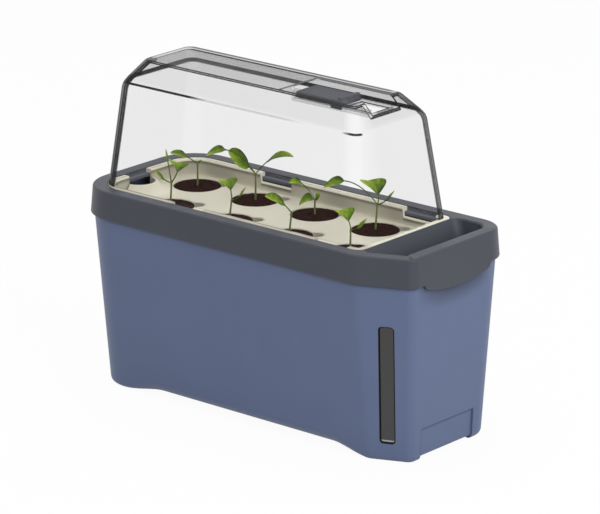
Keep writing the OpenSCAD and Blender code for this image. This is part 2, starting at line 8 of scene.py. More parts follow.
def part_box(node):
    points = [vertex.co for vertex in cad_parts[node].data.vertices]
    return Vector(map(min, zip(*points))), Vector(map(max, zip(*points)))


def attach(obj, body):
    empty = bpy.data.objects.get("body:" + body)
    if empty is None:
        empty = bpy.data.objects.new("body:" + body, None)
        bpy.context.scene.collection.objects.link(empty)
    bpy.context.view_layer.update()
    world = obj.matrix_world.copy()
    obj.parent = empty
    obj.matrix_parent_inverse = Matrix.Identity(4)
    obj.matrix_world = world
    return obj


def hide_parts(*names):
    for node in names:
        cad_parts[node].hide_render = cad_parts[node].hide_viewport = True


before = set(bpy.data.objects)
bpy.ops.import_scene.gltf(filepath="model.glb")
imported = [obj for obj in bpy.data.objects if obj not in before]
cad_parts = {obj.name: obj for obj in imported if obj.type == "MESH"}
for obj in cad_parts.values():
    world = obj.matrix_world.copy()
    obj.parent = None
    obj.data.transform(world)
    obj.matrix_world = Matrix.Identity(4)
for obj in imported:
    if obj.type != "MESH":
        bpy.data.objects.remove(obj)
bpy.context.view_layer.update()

MM = 0.001
UP = Vector((0, 0, 1))


def node_box(node):
    """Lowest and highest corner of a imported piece, in millimetres."""
    low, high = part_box(node)
    return low / MM, high / MM


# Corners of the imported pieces
TUB_MAX = node_box("tub")[1]
FRAME_MAX = node_box("frame")[1]
TRAY_MIN, TRAY_MAX = node_box("tray")
PLUG_MIN, PLUG_MAX = node_box("plug_1")
HOOD_MIN, HOOD_MAX = node_box("hood")

# Heights of the part
FRAME_TOP = FRAME_MAX.z
SKIRT_LOW = FRAME_TOP - 25.9
RIM_TOP = TUB_MAX.z
LEDGE_TOP = FRAME_TOP - 4.0
LEDGE_LOW = FRAME_TOP - 7.0
FLANGE_TOP = TRAY_MAX.z
TRAY_FLOOR = FRAME_TOP - 16.0
TRAY_UNDER = FRAME_TOP - 18.0
SOIL_TOP = PLUG_MAX.z
PLUG_LOW = PLUG_MIN.z
CELL_UNDER = TRAY_MIN.z
CELL_FLOOR = CELL_UNDER + 1.4
SHOULDER = FRAME_TOP - 24.5
ARCH, END_ARCH, PANEL = 5.0, 2.8, 29.4
TUB_FLOOR = 8.0
HOOD_ROOF = HOOD_MAX.z
HOOD_BEND = HOOD_ROOF - 20.0
HOOD_WALL_H = HOOD_BEND - FLANGE_TOP

# Vent channel in the hood's roof, and the opening in its floor
CHANNEL_LEFT, CHANNEL_HALF, CHANNEL_CORNER = 17.8, 18.2, 4.0
CHANNEL_FLOOR = HOOD_ROOF - 9.6
VENT_LEFT, VENT_RIGHT, VENT_HALF = 74.8, 105.3, 11.0

# Plan of the casing: facet at the front right, round corners elsewhere. Those over FIRM_R can tighten
FACET = math.radians(23.3)
FACET_SLOPE = math.tan(FACET)
FACET_GAIN = 1 - (1 / math.cos(FACET) - 1) / FACET_SLOPE
FIRM_R = 20
CASE_RADII = (42, FIRM_R, 9, 30, 42)
CASE_ARCS = (16, 8, 10, 40, 16)
CASE_RUNS = (56, 7, 56, 14)


def lerp(a, b, t):
    return a + (b - a) * t


def ease(t):
    t = min(max(t, 0.0), 1.0)
    return t * t * (3 - 2 * t)


def between(start, end, cuts):
    """Points on a straight: a count of even ones, those at an axis and its places, or those at shares."""
    if isinstance(cuts, int):
        shares = [(k + 1) / (cuts + 1) for k in range(cuts)]
    elif isinstance(cuts, tuple):
        axis, places = cuts
        shares = [(place - start[axis]) / (end[axis] - start[axis]) for place in places]
    else:
        shares = cuts
    return [start.lerp(end, share) for share in shares]


def rounded(corners, radii, arcs, runs):
    """Anticlockwise outline with each corner turned by an arc, and each straight after it cut as runs say."""
    turns = []
    for i, corner in enumerate(corners):
        at = Vector(corner)
        back = (Vector(corners[i - 1]) - at).normalized()
        on = (Vector(corners[(i + 1) % len(corners)]) - at).normalized()
        half = math.acos(back.dot(on)) / 2
        middle = at + (back + on).normalized() * radii[i] / math.sin(half)
        spoke = at + back * radii[i] / math.tan(half) - middle
        start = math.atan2(spoke.y, spoke.x)
        step = (math.pi - 2 * half) / arcs[i]
        turns.append([
            middle + radii[i] * Vector((math.cos(start + step * k), math.sin(start + step * k)))
            for k in range(arcs[i] + 1)])
    points = []
    for i, turn in enumerate(turns):
        points += turn
        points += between(turn[-1], turns[(i + 1) % len(turns)][0], runs[i])
    return points


def case_plan(left, right, side, run, tight, grow, end_cuts):
    """Outline of the casing, with its round corners tightened by a share and the whole grown outwards."""
    run_here = max(run + grow * FACET_GAIN, 2)
    x0, x1, y = left - grow, right + grow, side + grow
    corners = [(x0, -y), (x1 - run_here, -y), (x1, run_here * FACET_SLOPE - y), (x1, y), (x0, y)]
    radii = [r * (1 - tight) if r > FIRM_R else r for r in CASE_RADII]
    front, facet, back, end = CASE_RUNS
    return rounded(corners, [max(r + grow, 1) for r in radii], CASE_ARCS, (front, facet, end_cuts, back, end))


def box_plan(left, right, side, radii, arcs, runs):
    return rounded([(left, -side), (right, -side), (right, side), (left, side)], radii, arcs, runs)


def spokes(count):
    """Even directions all round, each as its cosine and sine."""
    angles = [2 * math.pi * k / count for k in range(count)]
    return [(math.cos(angle), math.sin(angle)) for angle in angles]


def quarter(steps):
    """Sine and cosine at even steps through a quarter turn."""
    angles = [math.pi / 2 * k / steps for k in range(steps + 1)]
    return [(math.sin(angle), math.cos(angle)) for angle in angles]


def add_object(name, data):
    made = bpy.data.objects.new(name, data)
    bpy.context.scene.collection.objects.link(made)
    return made


class Shell:
    """A mesh in the making, in millimetres."""

    def __init__(self, *marks):
        self.bm = bmesh.new()
        self.marks = {mark: self.bm.verts.layers.float.new(mark) for mark in marks}

    def loop(self, plan, z=None, **marks):
        """A row of points: flat ones with a height, or heights, or points in space."""
        made = []
        for i, p in enumerate(plan):
            place = p if z is None else (p[0], p[1], z[i] if isinstance(z, list) else z)
            vert = self.bm.verts.new(place)
            for mark, value in marks.items():
                vert[self.marks[mark]] = value[i] if isinstance(value, list) else value
            made.append(vert)
        return made

    def strip(self, low, high, closed=True, skip=(), paint=0):
        """Quads between two rows of equal length, leaving out the columns in skip."""
        count = len(low)
        for i in range(count if closed else count - 1):
            if i in skip:
                continue
            k = (i + 1) % count
            corners = []
            for vert in (low[i], low[k], high[k], high[i]):
                if vert not in corners:
                    corners.append(vert)
            if len(corners) > 2 and not self.bm.faces.get(corners):
                self.bm.faces.new(corners).material_index = paint

    def skin(self, rows, closed=True, skip=(), paint=0):
        for low, high in zip(rows, rows[1:]):
            self.strip(low, high, closed, skip, paint)

    def fill(self, *loops, normal=(0, 0, 1), paint=0):
        """Triangles between an outer loop and the loops inside it."""
        edges = []
        for loop in loops:
            for a, b in zip(loop, loop[1:] + loop[:1]):
                edges.append(self.bm.edges.get((a, b)) or self.bm.edges.new((a, b)))
        made = bmesh.ops.triangle_fill(self.bm, use_beauty=True, edges=edges, normal=normal)
        for face in made["geom"]:
            if isinstance(face, bmesh.types.BMFace):
                face.material_index = paint

    def patch(self, loop, paint=0):
        self.bm.faces.new(loop).material_index = paint

    def bar(self, rows, paint=0):
        """A closed piece through some rows, with its first and last row filled."""
        self.skin(rows, paint=paint)
        self.patch(rows[0], paint)
        self.patch(rows[-1], paint)

    def solid(self, plans, heights, paint=0, place=None):
        """A closed piece with flat ends: one outline per height, each point set in place."""
        rows = []
        for plan, z in zip(plans, heights):
            points = [(p[0], p[1], z) for p in plan]
            rows.append(self.loop([place(p) for p in points] if place else points))
        self.bar(rows, paint)

    def done(self, name, body, nodes, finishes, crease=35):
        bmesh.ops.remove_doubles(self.bm, verts=self.bm.verts, dist=0.002)
        bmesh.ops.recalc_face_normals(self.bm, faces=self.bm.faces)
        bmesh.ops.scale(self.bm, vec=(MM, MM, MM), verts=self.bm.verts)
        mesh = bpy.data.meshes.new(name)
        self.bm.to_mesh(mesh)
        self.bm.free()
        for finish in finishes:
            mesh.materials.append(finish)
        mesh.shade_smooth()
        mesh.set_sharp_from_angle(angle=math.radians(crease))
        piece = add_object(name, mesh)
        even = piece.modifiers.new("even_shading", "WEIGHTED_NORMAL")
        even.keep_sharp = True
        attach(piece, body)
        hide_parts(*nodes)
        return piece


# Finishes


class Wire:
    """A socket that carries a value over a surface. Arithmetic on it adds Math nodes."""

    def __init__(self, finish, socket):
        self.finish = finish
        self.socket = socket

    def maths(self, operation, first, second=0.0):
        return self.finish.node("ShaderNodeMath", {"operation": operation}, {0: first, 1: second})

    def also(self, output):
        return Wire(self.finish, self.socket.node.outputs[output])

    def __add__(self, other):
        return self.maths("ADD", self, other)

    def __radd__(self, other):
        return self.maths("ADD", other, self)

    def __sub__(self, other):
        return self.maths("SUBTRACT", self, other)

    def __rsub__(self, other):
        return self.maths("SUBTRACT", other, self)

    def __mul__(self, other):
        return self.maths("MULTIPLY", self, other)

    def __rmul__(self, other):
        return self.maths("MULTIPLY", other, self)

    def __truediv__(self, other):
        return self.maths("DIVIDE", self, other)

    def __rtruediv__(self, other):
        return self.maths("DIVIDE", other, self)

    def __pow__(self, other):
        return self.maths("POWER", self, other)

    def __rpow__(self, other):
        return self.maths("POWER", other, self)

    def __abs__(self):
        return self.maths("ABSOLUTE", self)

    def sine(self):
        return self.maths("SINE", self)

    def least(self, other):
        return self.maths("MINIMUM", self, other)

    def most(self, other):
        return self.maths("MAXIMUM", self, other)


class Finish:
    """A material, or the world, and the nodes that make it."""

    def __init__(self, owner):
        owner.use_nodes = True
        self.owner = owner
        self.tree = owner.node_tree
        self.tree.nodes.clear()

    def node(self, kind, settings=None, inputs=None, out=0):
        made = self.tree.nodes.new(kind)
        for key, value in (settings or {}).items():
            if key == "stops":
                stops = made.color_ramp.elements
                while len(stops) < len(value):
                    stops.new(0.5)
                for stop, (place, colour) in zip(stops, value):
                    stop.position = place
                    stop.color = colour
            else:
                setattr(made, key, value)
        for key, value in (inputs or {}).items():
            if isinstance(value, Wire):
                self.tree.links.new(value.socket, made.inputs[key])
            else:
                made.inputs[key].default_value = value
        return Wire(self, made.outputs[out]) if len(made.outputs) else None

    def place(self):
        return self.node("ShaderNodeTexCoord", out="Object")

    def axis(self, place, name):
        return self.node("ShaderNodeSeparateXYZ", inputs={"Vector": place}, out=name)

    def noise(self, place, scale, detail=2.0, rough=0.5):
        sockets = {"Vector": place, "Scale": scale, "Detail": detail, "Roughness": rough}
        return self.node("ShaderNodeTexNoise", inputs=sockets)

    def mark(self, name):
        return self.node("ShaderNodeAttribute", {"attribute_name": name}, out="Fac")

    def ramp(self, value, *stops):
        return self.node("ShaderNodeValToRGB", {"stops": stops}, {"Fac": value})

    def mix(self, share, first, second):
        return self.node("ShaderNodeMix", {"data_type": "RGBA"}, {0: share, 6: first, 7: second}, out=2)

    def bump(self, height, depth):
        return self.node("ShaderNodeBump", inputs={"Strength": 1.0, "Distance": depth, "Height": height})

    def surface(self, **sockets):
        shader = self.node("ShaderNodeBsdfPrincipled", inputs={
            name.replace("_", " "): value for name, value in sockets.items()})
        self.node("ShaderNodeOutputMaterial", inputs={"Surface": shader})
        return self.owner


def paint(red, green, blue, light=1.0):
    """A colour given by its screen values, as linear light."""
    def linear(value):
        share = value / 255
        return share / 12.92 if share < 0.04045 else ((share + 0.055) / 1.055) ** 2.4
    return tuple(min(linear(value) * light, 1.0) for value in (red, green, blue)) + (1.0,)


def near(value, middle, reach):
    """One where a wire's value is at the middle, none from reach away."""
    return (1.0 - abs(value - middle) / reach).most(0.0)


def new_finish(name):
    return Finish(bpy.data.materials.new(name))


# Depth of the moulded grain in metres, and share by which moulded plastic is clouded
GRAIN, MOTTLE = 0.00003, 0.06


def moulded(name, colour, rough, gloss=0.3):
    """Satin moulded plastic: a fine spark-eroded grain, a faint cloudiness and painted shade where a mesh
    marks it.
    """
    f = new_finish(name)
    place = f.place()
    cloud = f.noise(place, 22.0, 3.0)
    fine = f.noise(place, 1500.0, 2.0)
    wear = f.noise(place, 160.0, 3.0)
    dull = paint(*colour, light=1 - MOTTLE)
    bright = paint(*colour, light=1 + MOTTLE)
    # Colour of the painted shade: the plastic at three tenths of its light
    step = paint(*colour, light=0.3)
    return f.surface(
        Base_Color=f.mix(f.mark("line") * 0.8, f.mix(cloud, dull, bright), step),
        Roughness=rough - 0.05 + fine * 0.06 + wear * 0.06,
        Specular_IOR_Level=gloss,
        Normal=f.bump(fine, GRAIN))


# Place across the tray where the shade along its front begins, and height of the window pane's foot, where a
# highlight is painted
FRONT_SHADE, PANE_FOOT = -42.0, 19.4


def cream_tray():
    """Cream moulding, in shade on its inner walls under the rim and along its front."""
    f = new_finish("tray_cream_satin")
    place = f.place()
    cloud = f.noise(place, 22.0, 3.0)
    fine = f.noise(place, 1500.0, 2.0)
    y = f.axis(place, "Y")
    front = ((FRONT_SHADE * MM - y) * 80).most(0.0).least(1.0)
    cream = f.mix(cloud, paint(240, 235, 214), paint(246, 241, 222))
    return f.surface(
        Base_Color=f.mix((f.mark("shade") + front * 0.4).least(1.0), cream, paint(84, 82, 72)),
        Roughness=0.45 + fine * 0.08,
        Specular_IOR_Level=0.3,
        Normal=f.bump(fine, GRAIN))


TUB_BLUE = moulded("tub_blue_satin", (93, 106, 138), 0.46)
FRAME_GREY = moulded("frame_grey_satin", (66, 69, 78), 0.44)
# Lighter copy of the frame grey, painted light for the inside of the trough
TROUGH_PAINTED_LIGHT = moulded("trough_grey_painted_light", (78, 81, 90), 0.44)
# Lighter copy of the frame grey, painted light for the opening's wall and ledge seen through the tray's
# cut-outs
LEDGE_PAINTED_LIGHT = moulded("ledge_grey_painted_light", (104, 107, 116), 0.44)
TRAY_CREAM = cream_tray()
SLIDER_GREY = moulded("slider_slate_satin", (90, 92, 98), 0.6, gloss=0.05)
GASKET_BLACK = moulded("gasket_black_rubber", (24, 24, 26), 0.75)


def smoked_pane():
    """Dark translucent pane, a little warmer towards its top, with a painted highlight along its foot."""
    f = new_finish("window_smoke")
    place = f.place()
    z = f.axis(place, "Z")
    cloud = f.noise(place, 60.0, 3.0)
    smoke = f.mix(z / 0.13 + (cloud - 0.5) * 0.2, paint(40, 41, 43), paint(38, 35, 32))
    # Painted highlight: a pale band at the pane's foot, where its lower edge catches light
    foot = (near(z, PANE_FOOT * MM, 1.0 * MM) * 2).least(1.0)
    return f.surface(
        Base_Color=f.mix(foot * 0.6, smoke, paint(196, 199, 204)),
        Roughness=0.22 + cloud * 0.1,
        Coat_Weight=0.3,
        Normal=f.bump(cloud, 0.0001))


def moist_soil():
    """Dark coir: crumbs, a few pale fibres and damp glints."""
    f = new_finish("plug_moist_coir")
    place = f.place()
    crumb = f.noise(place, 420.0, 6.0, 0.65)
    grit = f.noise(place, 1700.0, 3.0)
    fibre = f.node("ShaderNodeTexVoronoi", {"feature": "DISTANCE_TO_EDGE"}, {"Vector": place, "Scale": 260.0})
    fleck = (grit - 0.62).most(0.0) * 5
    dark = f.ramp(crumb, (0.3, paint(22, 4, 1)), (0.55, paint(40, 12, 5)), (0.8, paint(62, 25, 13)))
    return f.surface(
        Base_Color=f.mix(fleck.least(1.0), dark, paint(78, 52, 38)),
        Roughness=0.98 - crumb * 0.15,
        Specular_IOR_Level=0.15,
        Normal=f.bump(crumb + grit * 0.4 + fibre * 0.6, 0.0012))


def leaf_green():
    """Young leaf: pale midrib, side veins, darker towards the stalk, one half painted lighter and the other
    darker as light falls on its fold, soft gloss.
    """
    f = new_finish("seedling_leaf_green")
    place = f.place()
    along = f.mark("along")
    across = f.mark("across")
    side = abs(across)
    rib = (1.0 - side * 7).most(0.0)
    vein = ((along * 9 - side * 1.6) * 6.2832).sine() * 0.5 + 0.5
    vein = (vein - 0.86).most(0.0) * 5 * (1.0 - side * 0.6)
    cloud = f.noise(place, 260.0, 4.0)
    # Across the midrib one half of the blade is painted lighter and the other darker, for the light on the
    # leaf's fold
    blade = f.ramp(
        cloud * 0.6 + along * 0.35 + across * 0.16,
        (0.22, paint(40, 60, 2)), (0.48, paint(100, 132, 14)), (0.76, paint(172, 196, 66)))
    shown = f.mix((rib * 0.55 + vein * 0.35).least(1.0), blade, paint(146, 166, 70))
    return f.surface(
        Base_Color=shown,
        Roughness=0.42 + cloud * 0.16,
        Specular_IOR_Level=0.3,
        Normal=f.bump(cloud * 0.5 - vein * 0.6 - rib * 0.6, 0.0005))


def stem_green():
    """Pale stem, a little mottled."""
    f = new_finish("seedling_stem_green")
    place = f.place()
    cloud = f.noise(place, 400.0, 3.0)
    return f.surface(
        Base_Color=f.mix(cloud, paint(82, 98, 44), paint(126, 136, 80)),
        Roughness=0.5 + cloud * 0.1,
        Normal=f.bump(cloud, 0.0002))


def wick_felt():
    """Grey felt, darker where it is damp."""
    f = new_finish("wick_felt")
    place = f.place()
    fuzz = f.noise(place, 1200.0, 5.0, 0.7)
    damp = f.axis(place, "Z") * 8
    wool = f.mix(fuzz, paint(196, 190, 176), paint(232, 228, 218))
    return f.surface(
        Base_Color=f.mix((damp + fuzz * 0.2).least(1.0), paint(170, 163, 148), wool),
        Roughness=0.9 + fuzz * 0.1,
        Normal=f.bump(fuzz, 0.0006))


def clear_sheet():
    """Clear moulded sheet: nearly unseen face on, grey where it is seen along its face, with painted
    refraction darkness at its marked bends, corners and edges and a painted lighter streak at one corner.
    """
    f = new_finish("hood_clear")
    place = f.place()
    x, y, z = [f.axis(place, name) for name in "XYZ"]
    ripple = f.noise(place, 14.0, 2.0)
    facing = f.node("ShaderNodeLayerWeight", inputs={"Blend": 0.5}, out="Facing")
    corner = f.mark("corner")
    channel = ((y - CHANNEL_HALF * MM) * 0.5).most(CHANNEL_LEFT * MM - x)
    vent_mid, vent_half = (VENT_LEFT + VENT_RIGHT) / 2 * MM, (VENT_RIGHT - VENT_LEFT) / 2 * MM
    opening = (abs(y) - VENT_HALF * MM).most(abs(x - vent_mid) - vent_half)
    on_roof = near(z, HOOD_ROOF * MM, 0.8 * MM)
    on_floor = near(z, CHANNEL_FLOOR * MM, 0.8 * MM)
    # Dark lines painted along the channel's edges on the roof and round the vent opening in its floor,
    # standing in for refraction at those edges
    line = (near(channel, 1.4 * MM, 1.9 * MM) * 3).least(1.0) * (on_roof * 2).least(1.0)
    rim = (near(opening, 0.2 * MM, 1.2 * MM) * 2).least(1.0) * (on_floor * 2).least(1.0)
    above = ((z - HOOD_BEND * MM) * 300).most(0.0).least(1.0)
    # The corner mark clears the sheet at its right front corner, a painted lighter streak for its highlight,
    # and darkens the left front and right back corners, painted refraction seen edge on
    thin = (0.032 + ripple * 0.008 + above * 0.05) * (1.0 + corner.least(0.0)) + facing ** 3.6 * 0.54
    thick = f.mark("edge") + corner.most(0.0) * ((facing - 0.12) * 10).most(0.0).least(1.0)
    drawn = line.most(rim) * 0.93
    return f.surface(
        Base_Color=f.mix(ripple, paint(34, 35, 37), paint(44, 45, 48)),
        Roughness=0.05 + ripple * 0.05,
        Specular_IOR_Level=0.1,
        Alpha=(thin + thick + drawn).least(0.96),
        Normal=f.bump(ripple, 0.0004))


WINDOW_SMOKE = smoked_pane()
PLUG_COIR = moist_soil()
LEAF_GREEN = leaf_green()
STEM_GREEN = stem_green()
WICK_FELT = wick_felt()
HOOD_CLEAR = clear_sheet()


# Water tub

PANEL_HALF, PANEL_SINK, PANEL_STEP = 36.4, 1.6, 0.6
PANEL_CUTS = [PANEL_HALF + step for step in (-2.4, -1.1, -0.5, 0, 1.2)]
TUB_END_CUTS = (1, [-y for y in PANEL_CUTS[::-1]] + [-32 + 4 * k for k in range(17)] + PANEL_CUTS)
FACET_FIRST = CASE_ARCS[0] + 1 + CASE_RUNS[0] + CASE_ARCS[1] + 1
END_FROM = 150.0
TUB_WALL = 2.5
RIM_OUT, RIM_IN = -2.6, -5.0
SHOULDER_X, SHOULDER_SIDE, SHOULDER_RUN = TUB_MAX.x, TUB_MAX.y, 49.2
DRAFT_LEFT, DRAFT_RIGHT, DRAFT_SIDE, DRAFT_RUN, DRAFT_TIGHT = 10.5, 7.0, 14.2, 12.0, 0.25
FLARE = 2.0
FRAME_X, FRAME_SIDE, FRAME_RUN = FRAME_MAX.x - FLARE, FRAME_MAX.y - FLARE, 50.0
ARCH_FLAT, ARCH_RUN = 100.0, 46.0
FOOT_TURN, ARCH_TURN, PANEL_TURN = 5.0, 6.0, 2.5
# Painted shade on the tub: reach under skirt and lip, darkness under the lip, the panel's dark outline, the
# foot's dark rows and their fade
SKIRT_SHADE, LIP_SHADE, LIP_DARK, PANEL_LINE = 5.0, 18.0, 1.25, 0.7
FOOT_DARK, FOOT_FADE = 4.7, 2.6
LEVEL_FROM, SLOT_OVER = 18.5, 132.0
SLOT_MID, SLOT_W, SLOT_H, SLOT_R = 72.0, 13.7, 109.24, 3.0


def wall_at(z):
    """Left, right, half width, facet run and corner tightening of the tub's drafted wall at a height."""
    drawn = 1 - z / SHOULDER
    left, right = DRAFT_LEFT * drawn - SHOULDER_X, SHOULDER_X - DRAFT_RIGHT * drawn
    side, run = SHOULDER_SIDE - DRAFT_SIDE * drawn, SHOULDER_RUN - DRAFT_RUN * drawn
    return left, right, side, run, DRAFT_TIGHT * drawn


def tub_plan(z, grow, end_cuts=TUB_END_CUTS):
    return case_plan(*wall_at(z), grow, end_cuts)


def frame_plan(grow, end_cuts):
    return case_plan(-FRAME_X, FRAME_X, FRAME_SIDE, FRAME_RUN, 0, grow, end_cuts)


def arch_share(x):
    """One over the arch between the feet of the long sides, none over a foot."""
    return 1 - ease((abs(x) - ARCH_FLAT) / ARCH_RUN)


def end_share(y):
    """One over the sunk panel of the right end, and over the arch below it."""
    return ease((PANEL_HALF - abs(y)) / PANEL_STEP)


def on_panel_line(y, z):
    """Whether a point of the right end lies on the outline of its sunk panel."""
    aside = abs(abs(y) - PANEL_HALF + 0.25) < 0.4
    above = abs(z - PANEL + 0.3) < 0.75
    return above and abs(y) < PANEL_HALF + 0.2 or aside and z < PANEL


def underside(x, y):
    return max(ARCH * arch_share(x), END_ARCH * end_share(y))


def facet_frame():
    """Middle of the window slot on the tub's facet, with its across, up and outward directions."""
    def reach(height):
        _, right, side, run, _ = wall_at(height)
        return (right - run) * math.sin(FACET) + side * math.cos(FACET)

    _, right, side, run, _ = wall_at(SLOT_MID)
    middle = Vector((right - run / 2, run / 2 * FACET_SLOPE - side, SLOT_MID))
    lean = math.atan((reach(SHOULDER) - reach(0)) / SHOULDER)
    across = Vector((math.cos(FACET), math.sin(FACET), 0))
    out = Vector((math.sin(FACET) * math.cos(lean), -math.cos(FACET) * math.cos(lean), -math.sin(lean)))
    up = out.cross(across) * -1
    return middle, across, up, out


FACET_MID, FACET_ACROSS, FACET_UP, FACET_OUT = facet_frame()


def on_facet(point):
    return FACET_MID + FACET_ACROSS * point[0] + FACET_UP * point[1] + FACET_OUT * point[2]


def slot_plan(grow):
    half_w, half_h = SLOT_W / 2 + grow, SLOT_H / 2 + grow
    radius = max(SLOT_R + grow, 0.5)
    return box_plan(-half_w, half_w, half_h, [radius] * 4, (6, 6, 6, 6), (2, 14, 2, 14))


def make_tub():
    """Drafted tub: turned feet, a sunk panel at the right end, a window slot and a rim under the frame."""
    shell = Shell("line")
    ground, shoulder = tub_plan(0, 0), tub_plan(SHOULDER, 0)
    inward = [b - a for a, b in zip(ground, tub_plan(0, -1))]
    count = len(ground)
    low = [underside(p.x, p.y) for p in ground]
    turn = []
    for p in ground:
        over_panel = end_share(p.y) if abs(p.x) > END_FROM else 0
        turn.append(FOOT_TURN + ARCH_TURN * arch_share(p.x) - PANEL_TURN * over_panel)

    def wall_row(heights, inset, turned=0.0):
        """Row of the outer wall, with its painted shade: on the turned edge, round the panel, under skirt and
        lip.
        """
        points, painted_shades = [], []
        for i, z in enumerate(heights):
            p = ground[i].lerp(shoulder[i], z / SHOULDER) + inward[i] * inset[i]
            on_end = p.x > END_FROM
            sunk = PANEL_SINK * end_share(p.y) * ease((PANEL - z) / PANEL_STEP) if on_end else 0.0
            lip = lip_share(p.y) if on_end else 0.0
            # Painted shadow under the skirt, deeper and longer under the grip lip, and a dark painted outline
            # round the sunk panel
            below = SKIRT_LOW - LIP_DROP * lip - z
            shade_under_lip = LIP_DARK * lip * min(1 - below / LIP_SHADE, 1.0)
            outline = PANEL_LINE if on_end and on_panel_line(p.y, z) else 0.0
            points.append((p.x - sunk, p.y, z))
            painted_shades.append(max(turned, outline, ease(1 - below / SKIRT_SHADE) ** 2, shade_under_lip))
        return shell.loop(points, line=painted_shades)

    rows = []
    # The lowest rows of the turned foot are painted dark, as shade where the edge turns under
    for k, (sin, cos) in enumerate(quarter(7)):
        heights = [start + radius * (1 - cos) for start, radius in zip(low, turn)]
        inset = [radius * (1 - sin) for radius in turn]
        rows.append(wall_row(heights, inset, ease((FOOT_DARK - k) / FOOT_FADE)))
    flush = [0] * count
    slot_low = len(rows)
    for share in (0.35, 0.7):
        heights = [lerp(start + radius, LEVEL_FROM, share) for start, radius in zip(low, turn)]
        rows.append(wall_row(heights, flush))
    levels = [LEVEL_FROM, 22] + [PANEL + step for step in (-4.4, -2.4, -1.0, -0.6, -0.3, 0, 0.4, 1, 3, 7)]
    levels += [52, 72, 92, 112, SLOT_OVER] + [136 + 1.5 * k for k in range(20)]
    slot_high = len(rows) + levels.index(SLOT_OVER)
    rows += [wall_row([z] * count, flush) for z in levels]
    rows.append(wall_row([SHOULDER] * count, [0.6] * count))

    slot = range(FACET_FIRST, FACET_FIRST + 6)
    for k, (a, b) in enumerate(zip(rows, rows[1:])):
        shell.strip(a, b, skip=slot if slot_low <= k < slot_high else ())
    first, last = slot[0], slot[-1] + 1
    around = rows[slot_low][first:last + 1]
    around += [row[last] for row in rows[slot_low + 1:slot_high]]
    around += rows[slot_high][first:last + 1][::-1]
    around += [row[first] for row in rows[slot_high - 1:slot_low:-1]]
    edge_rows = [
        shell.loop([on_facet((p.x, p.y, out)) for p in slot_plan(grow)])
        for grow, out in ((0.5, 0), (0.2, -0.1), (0.05, -0.3), (0, -0.6), (0, -2.3))]
    shell.fill(around, edge_rows[0], normal=FACET_OUT)
    shell.skin(edge_rows, paint=1)
    shell.fill(edge_rows[-1], normal=FACET_OUT, paint=1)

    upper = [
        shell.loop(frame_plan(grow, TUB_END_CUTS), z)
        for grow, z in (
            (RIM_OUT, SHOULDER), (RIM_OUT, RIM_TOP - 0.6), (RIM_OUT - 0.6, RIM_TOP), (RIM_IN + 0.6, RIM_TOP),
            (RIM_IN, RIM_TOP - 0.6), (RIM_IN, SHOULDER))]
    inside = []
    for tuck, up in ((0, 150), (0, 102), (0, 52), (0, 6.6), (0.7, 3), (2.2, 1), (5, 0)):
        z = TUB_FLOOR + up
        level = [a.lerp(b, z / SHOULDER) for a, b in zip(ground, shoulder)]
        inside.append(shell.loop([p + d * (TUB_WALL + tuck) for p, d in zip(level, inward)], z))
    shell.skin([rows[-1]] + upper + inside)
    shell.fill(inside[-1])

    under = [rows[0]]
    for inset in (14, 22, 32, 44):
        plan = tub_plan(0, -inset, len(TUB_END_CUTS[1]))
        under.append(shell.loop(plan, [underside(p.x, p.y) for p in plan]))
    shell.skin(under)
    shell.fill(under[-1])
    shell.done("water_tub", "base", ["tub"], [TUB_BLUE, GASKET_BLACK])


def make_window():
    """Pane set back in the slot, with its clamping flange inside the tub."""
    shell = Shell()

    def plate(grow_steps, outs):
        shell.solid([slot_plan(grow) for grow in grow_steps], outs, place=on_facet)

    plate((-0.7, -0.7, -0.8, -1.1), (-2.25, -1.9, -1.6, -1.5))
    plate((2.2, 2.4, 2.4, 2.2), (-5.5, -5.3, -3.7, -3.5))
    shell.done("level_window_pane", "base", ["level_window"], [WINDOW_SMOKE])


# Frame

FRAME_END_CUTS = (1, [-50 + 2 * k for k in range(50)])
FLANGE_IN = 0.4
OPEN_LEFT, OPEN_RIGHT, OPEN_SIDE = TRAY_MIN.x - FLANGE_IN, TRAY_MAX.x + FLANGE_IN, TRAY_MAX.y + FLANGE_IN
OPEN_LEFT_R, OPEN_RIGHT_R = 28.2, 8.0
LIP_MID, LIP_L, LIP_DROP = 2.0, 92.0, 9.8
TROUGH_LEFT, TROUGH_RIGHT, TROUGH_RUN = 138.2, 176.2, 39.05
TROUGH_DEPTH, TROUGH_WALL, TROUGH_LEFT_WALL = 27.0, 2.0, 2.2
TROUGH_FLOOR, TROUGH_UNDER = FRAME_TOP - TROUGH_DEPTH, FRAME_TOP - TROUGH_DEPTH - 2.2
LEAN, LEFT_LEAN = 2.0, 8.0
EDGE_R, MOUTH_R, POCKET_R = 2.2, 0.9, 2.6
STRIP_RISE = 1.1


def open_plan(inset, runs):
    left, right = max(OPEN_LEFT_R - inset, 1), max(OPEN_RIGHT_R - inset, 1)
    return box_plan(
        OPEN_LEFT + inset, OPEN_RIGHT - inset, OPEN_SIDE - inset,
        (left, right, right, left), (14, 8, 8, 14), runs)


def trough_plan(left, grow):
    x1 = TROUGH_RIGHT + grow
    run = TROUGH_RUN + grow * FACET_GAIN
    y = OPEN_SIDE + grow
    start_y = max(left - (x1 - run), 0) * FACET_SLOPE - y
    return rounded(
        [(left, start_y), (x1, run * FACET_SLOPE - y), (x1, y), (left, y)],
        (4, 4, 16, 8), (6, 6, 12, 6), (8, 24, 8, 30))


def lip_share(y):
    """How much of its full drop the grip lip has at a place along the right end."""
    t = min(max((y - LIP_MID) / LIP_L + 0.5, 0.0), 1.0)
    return max(math.sin(math.pi * t), 0.0) ** (0.42 if t < 0.5 else 0.28)


def strip_rise(index, first, last, fade):
    """Rise of the strip along the right end's land: sharp at the facet, fading round the back corner."""
    if index < first:
        return 0.0
    return STRIP_RISE * ease((last + fade - index) / fade)


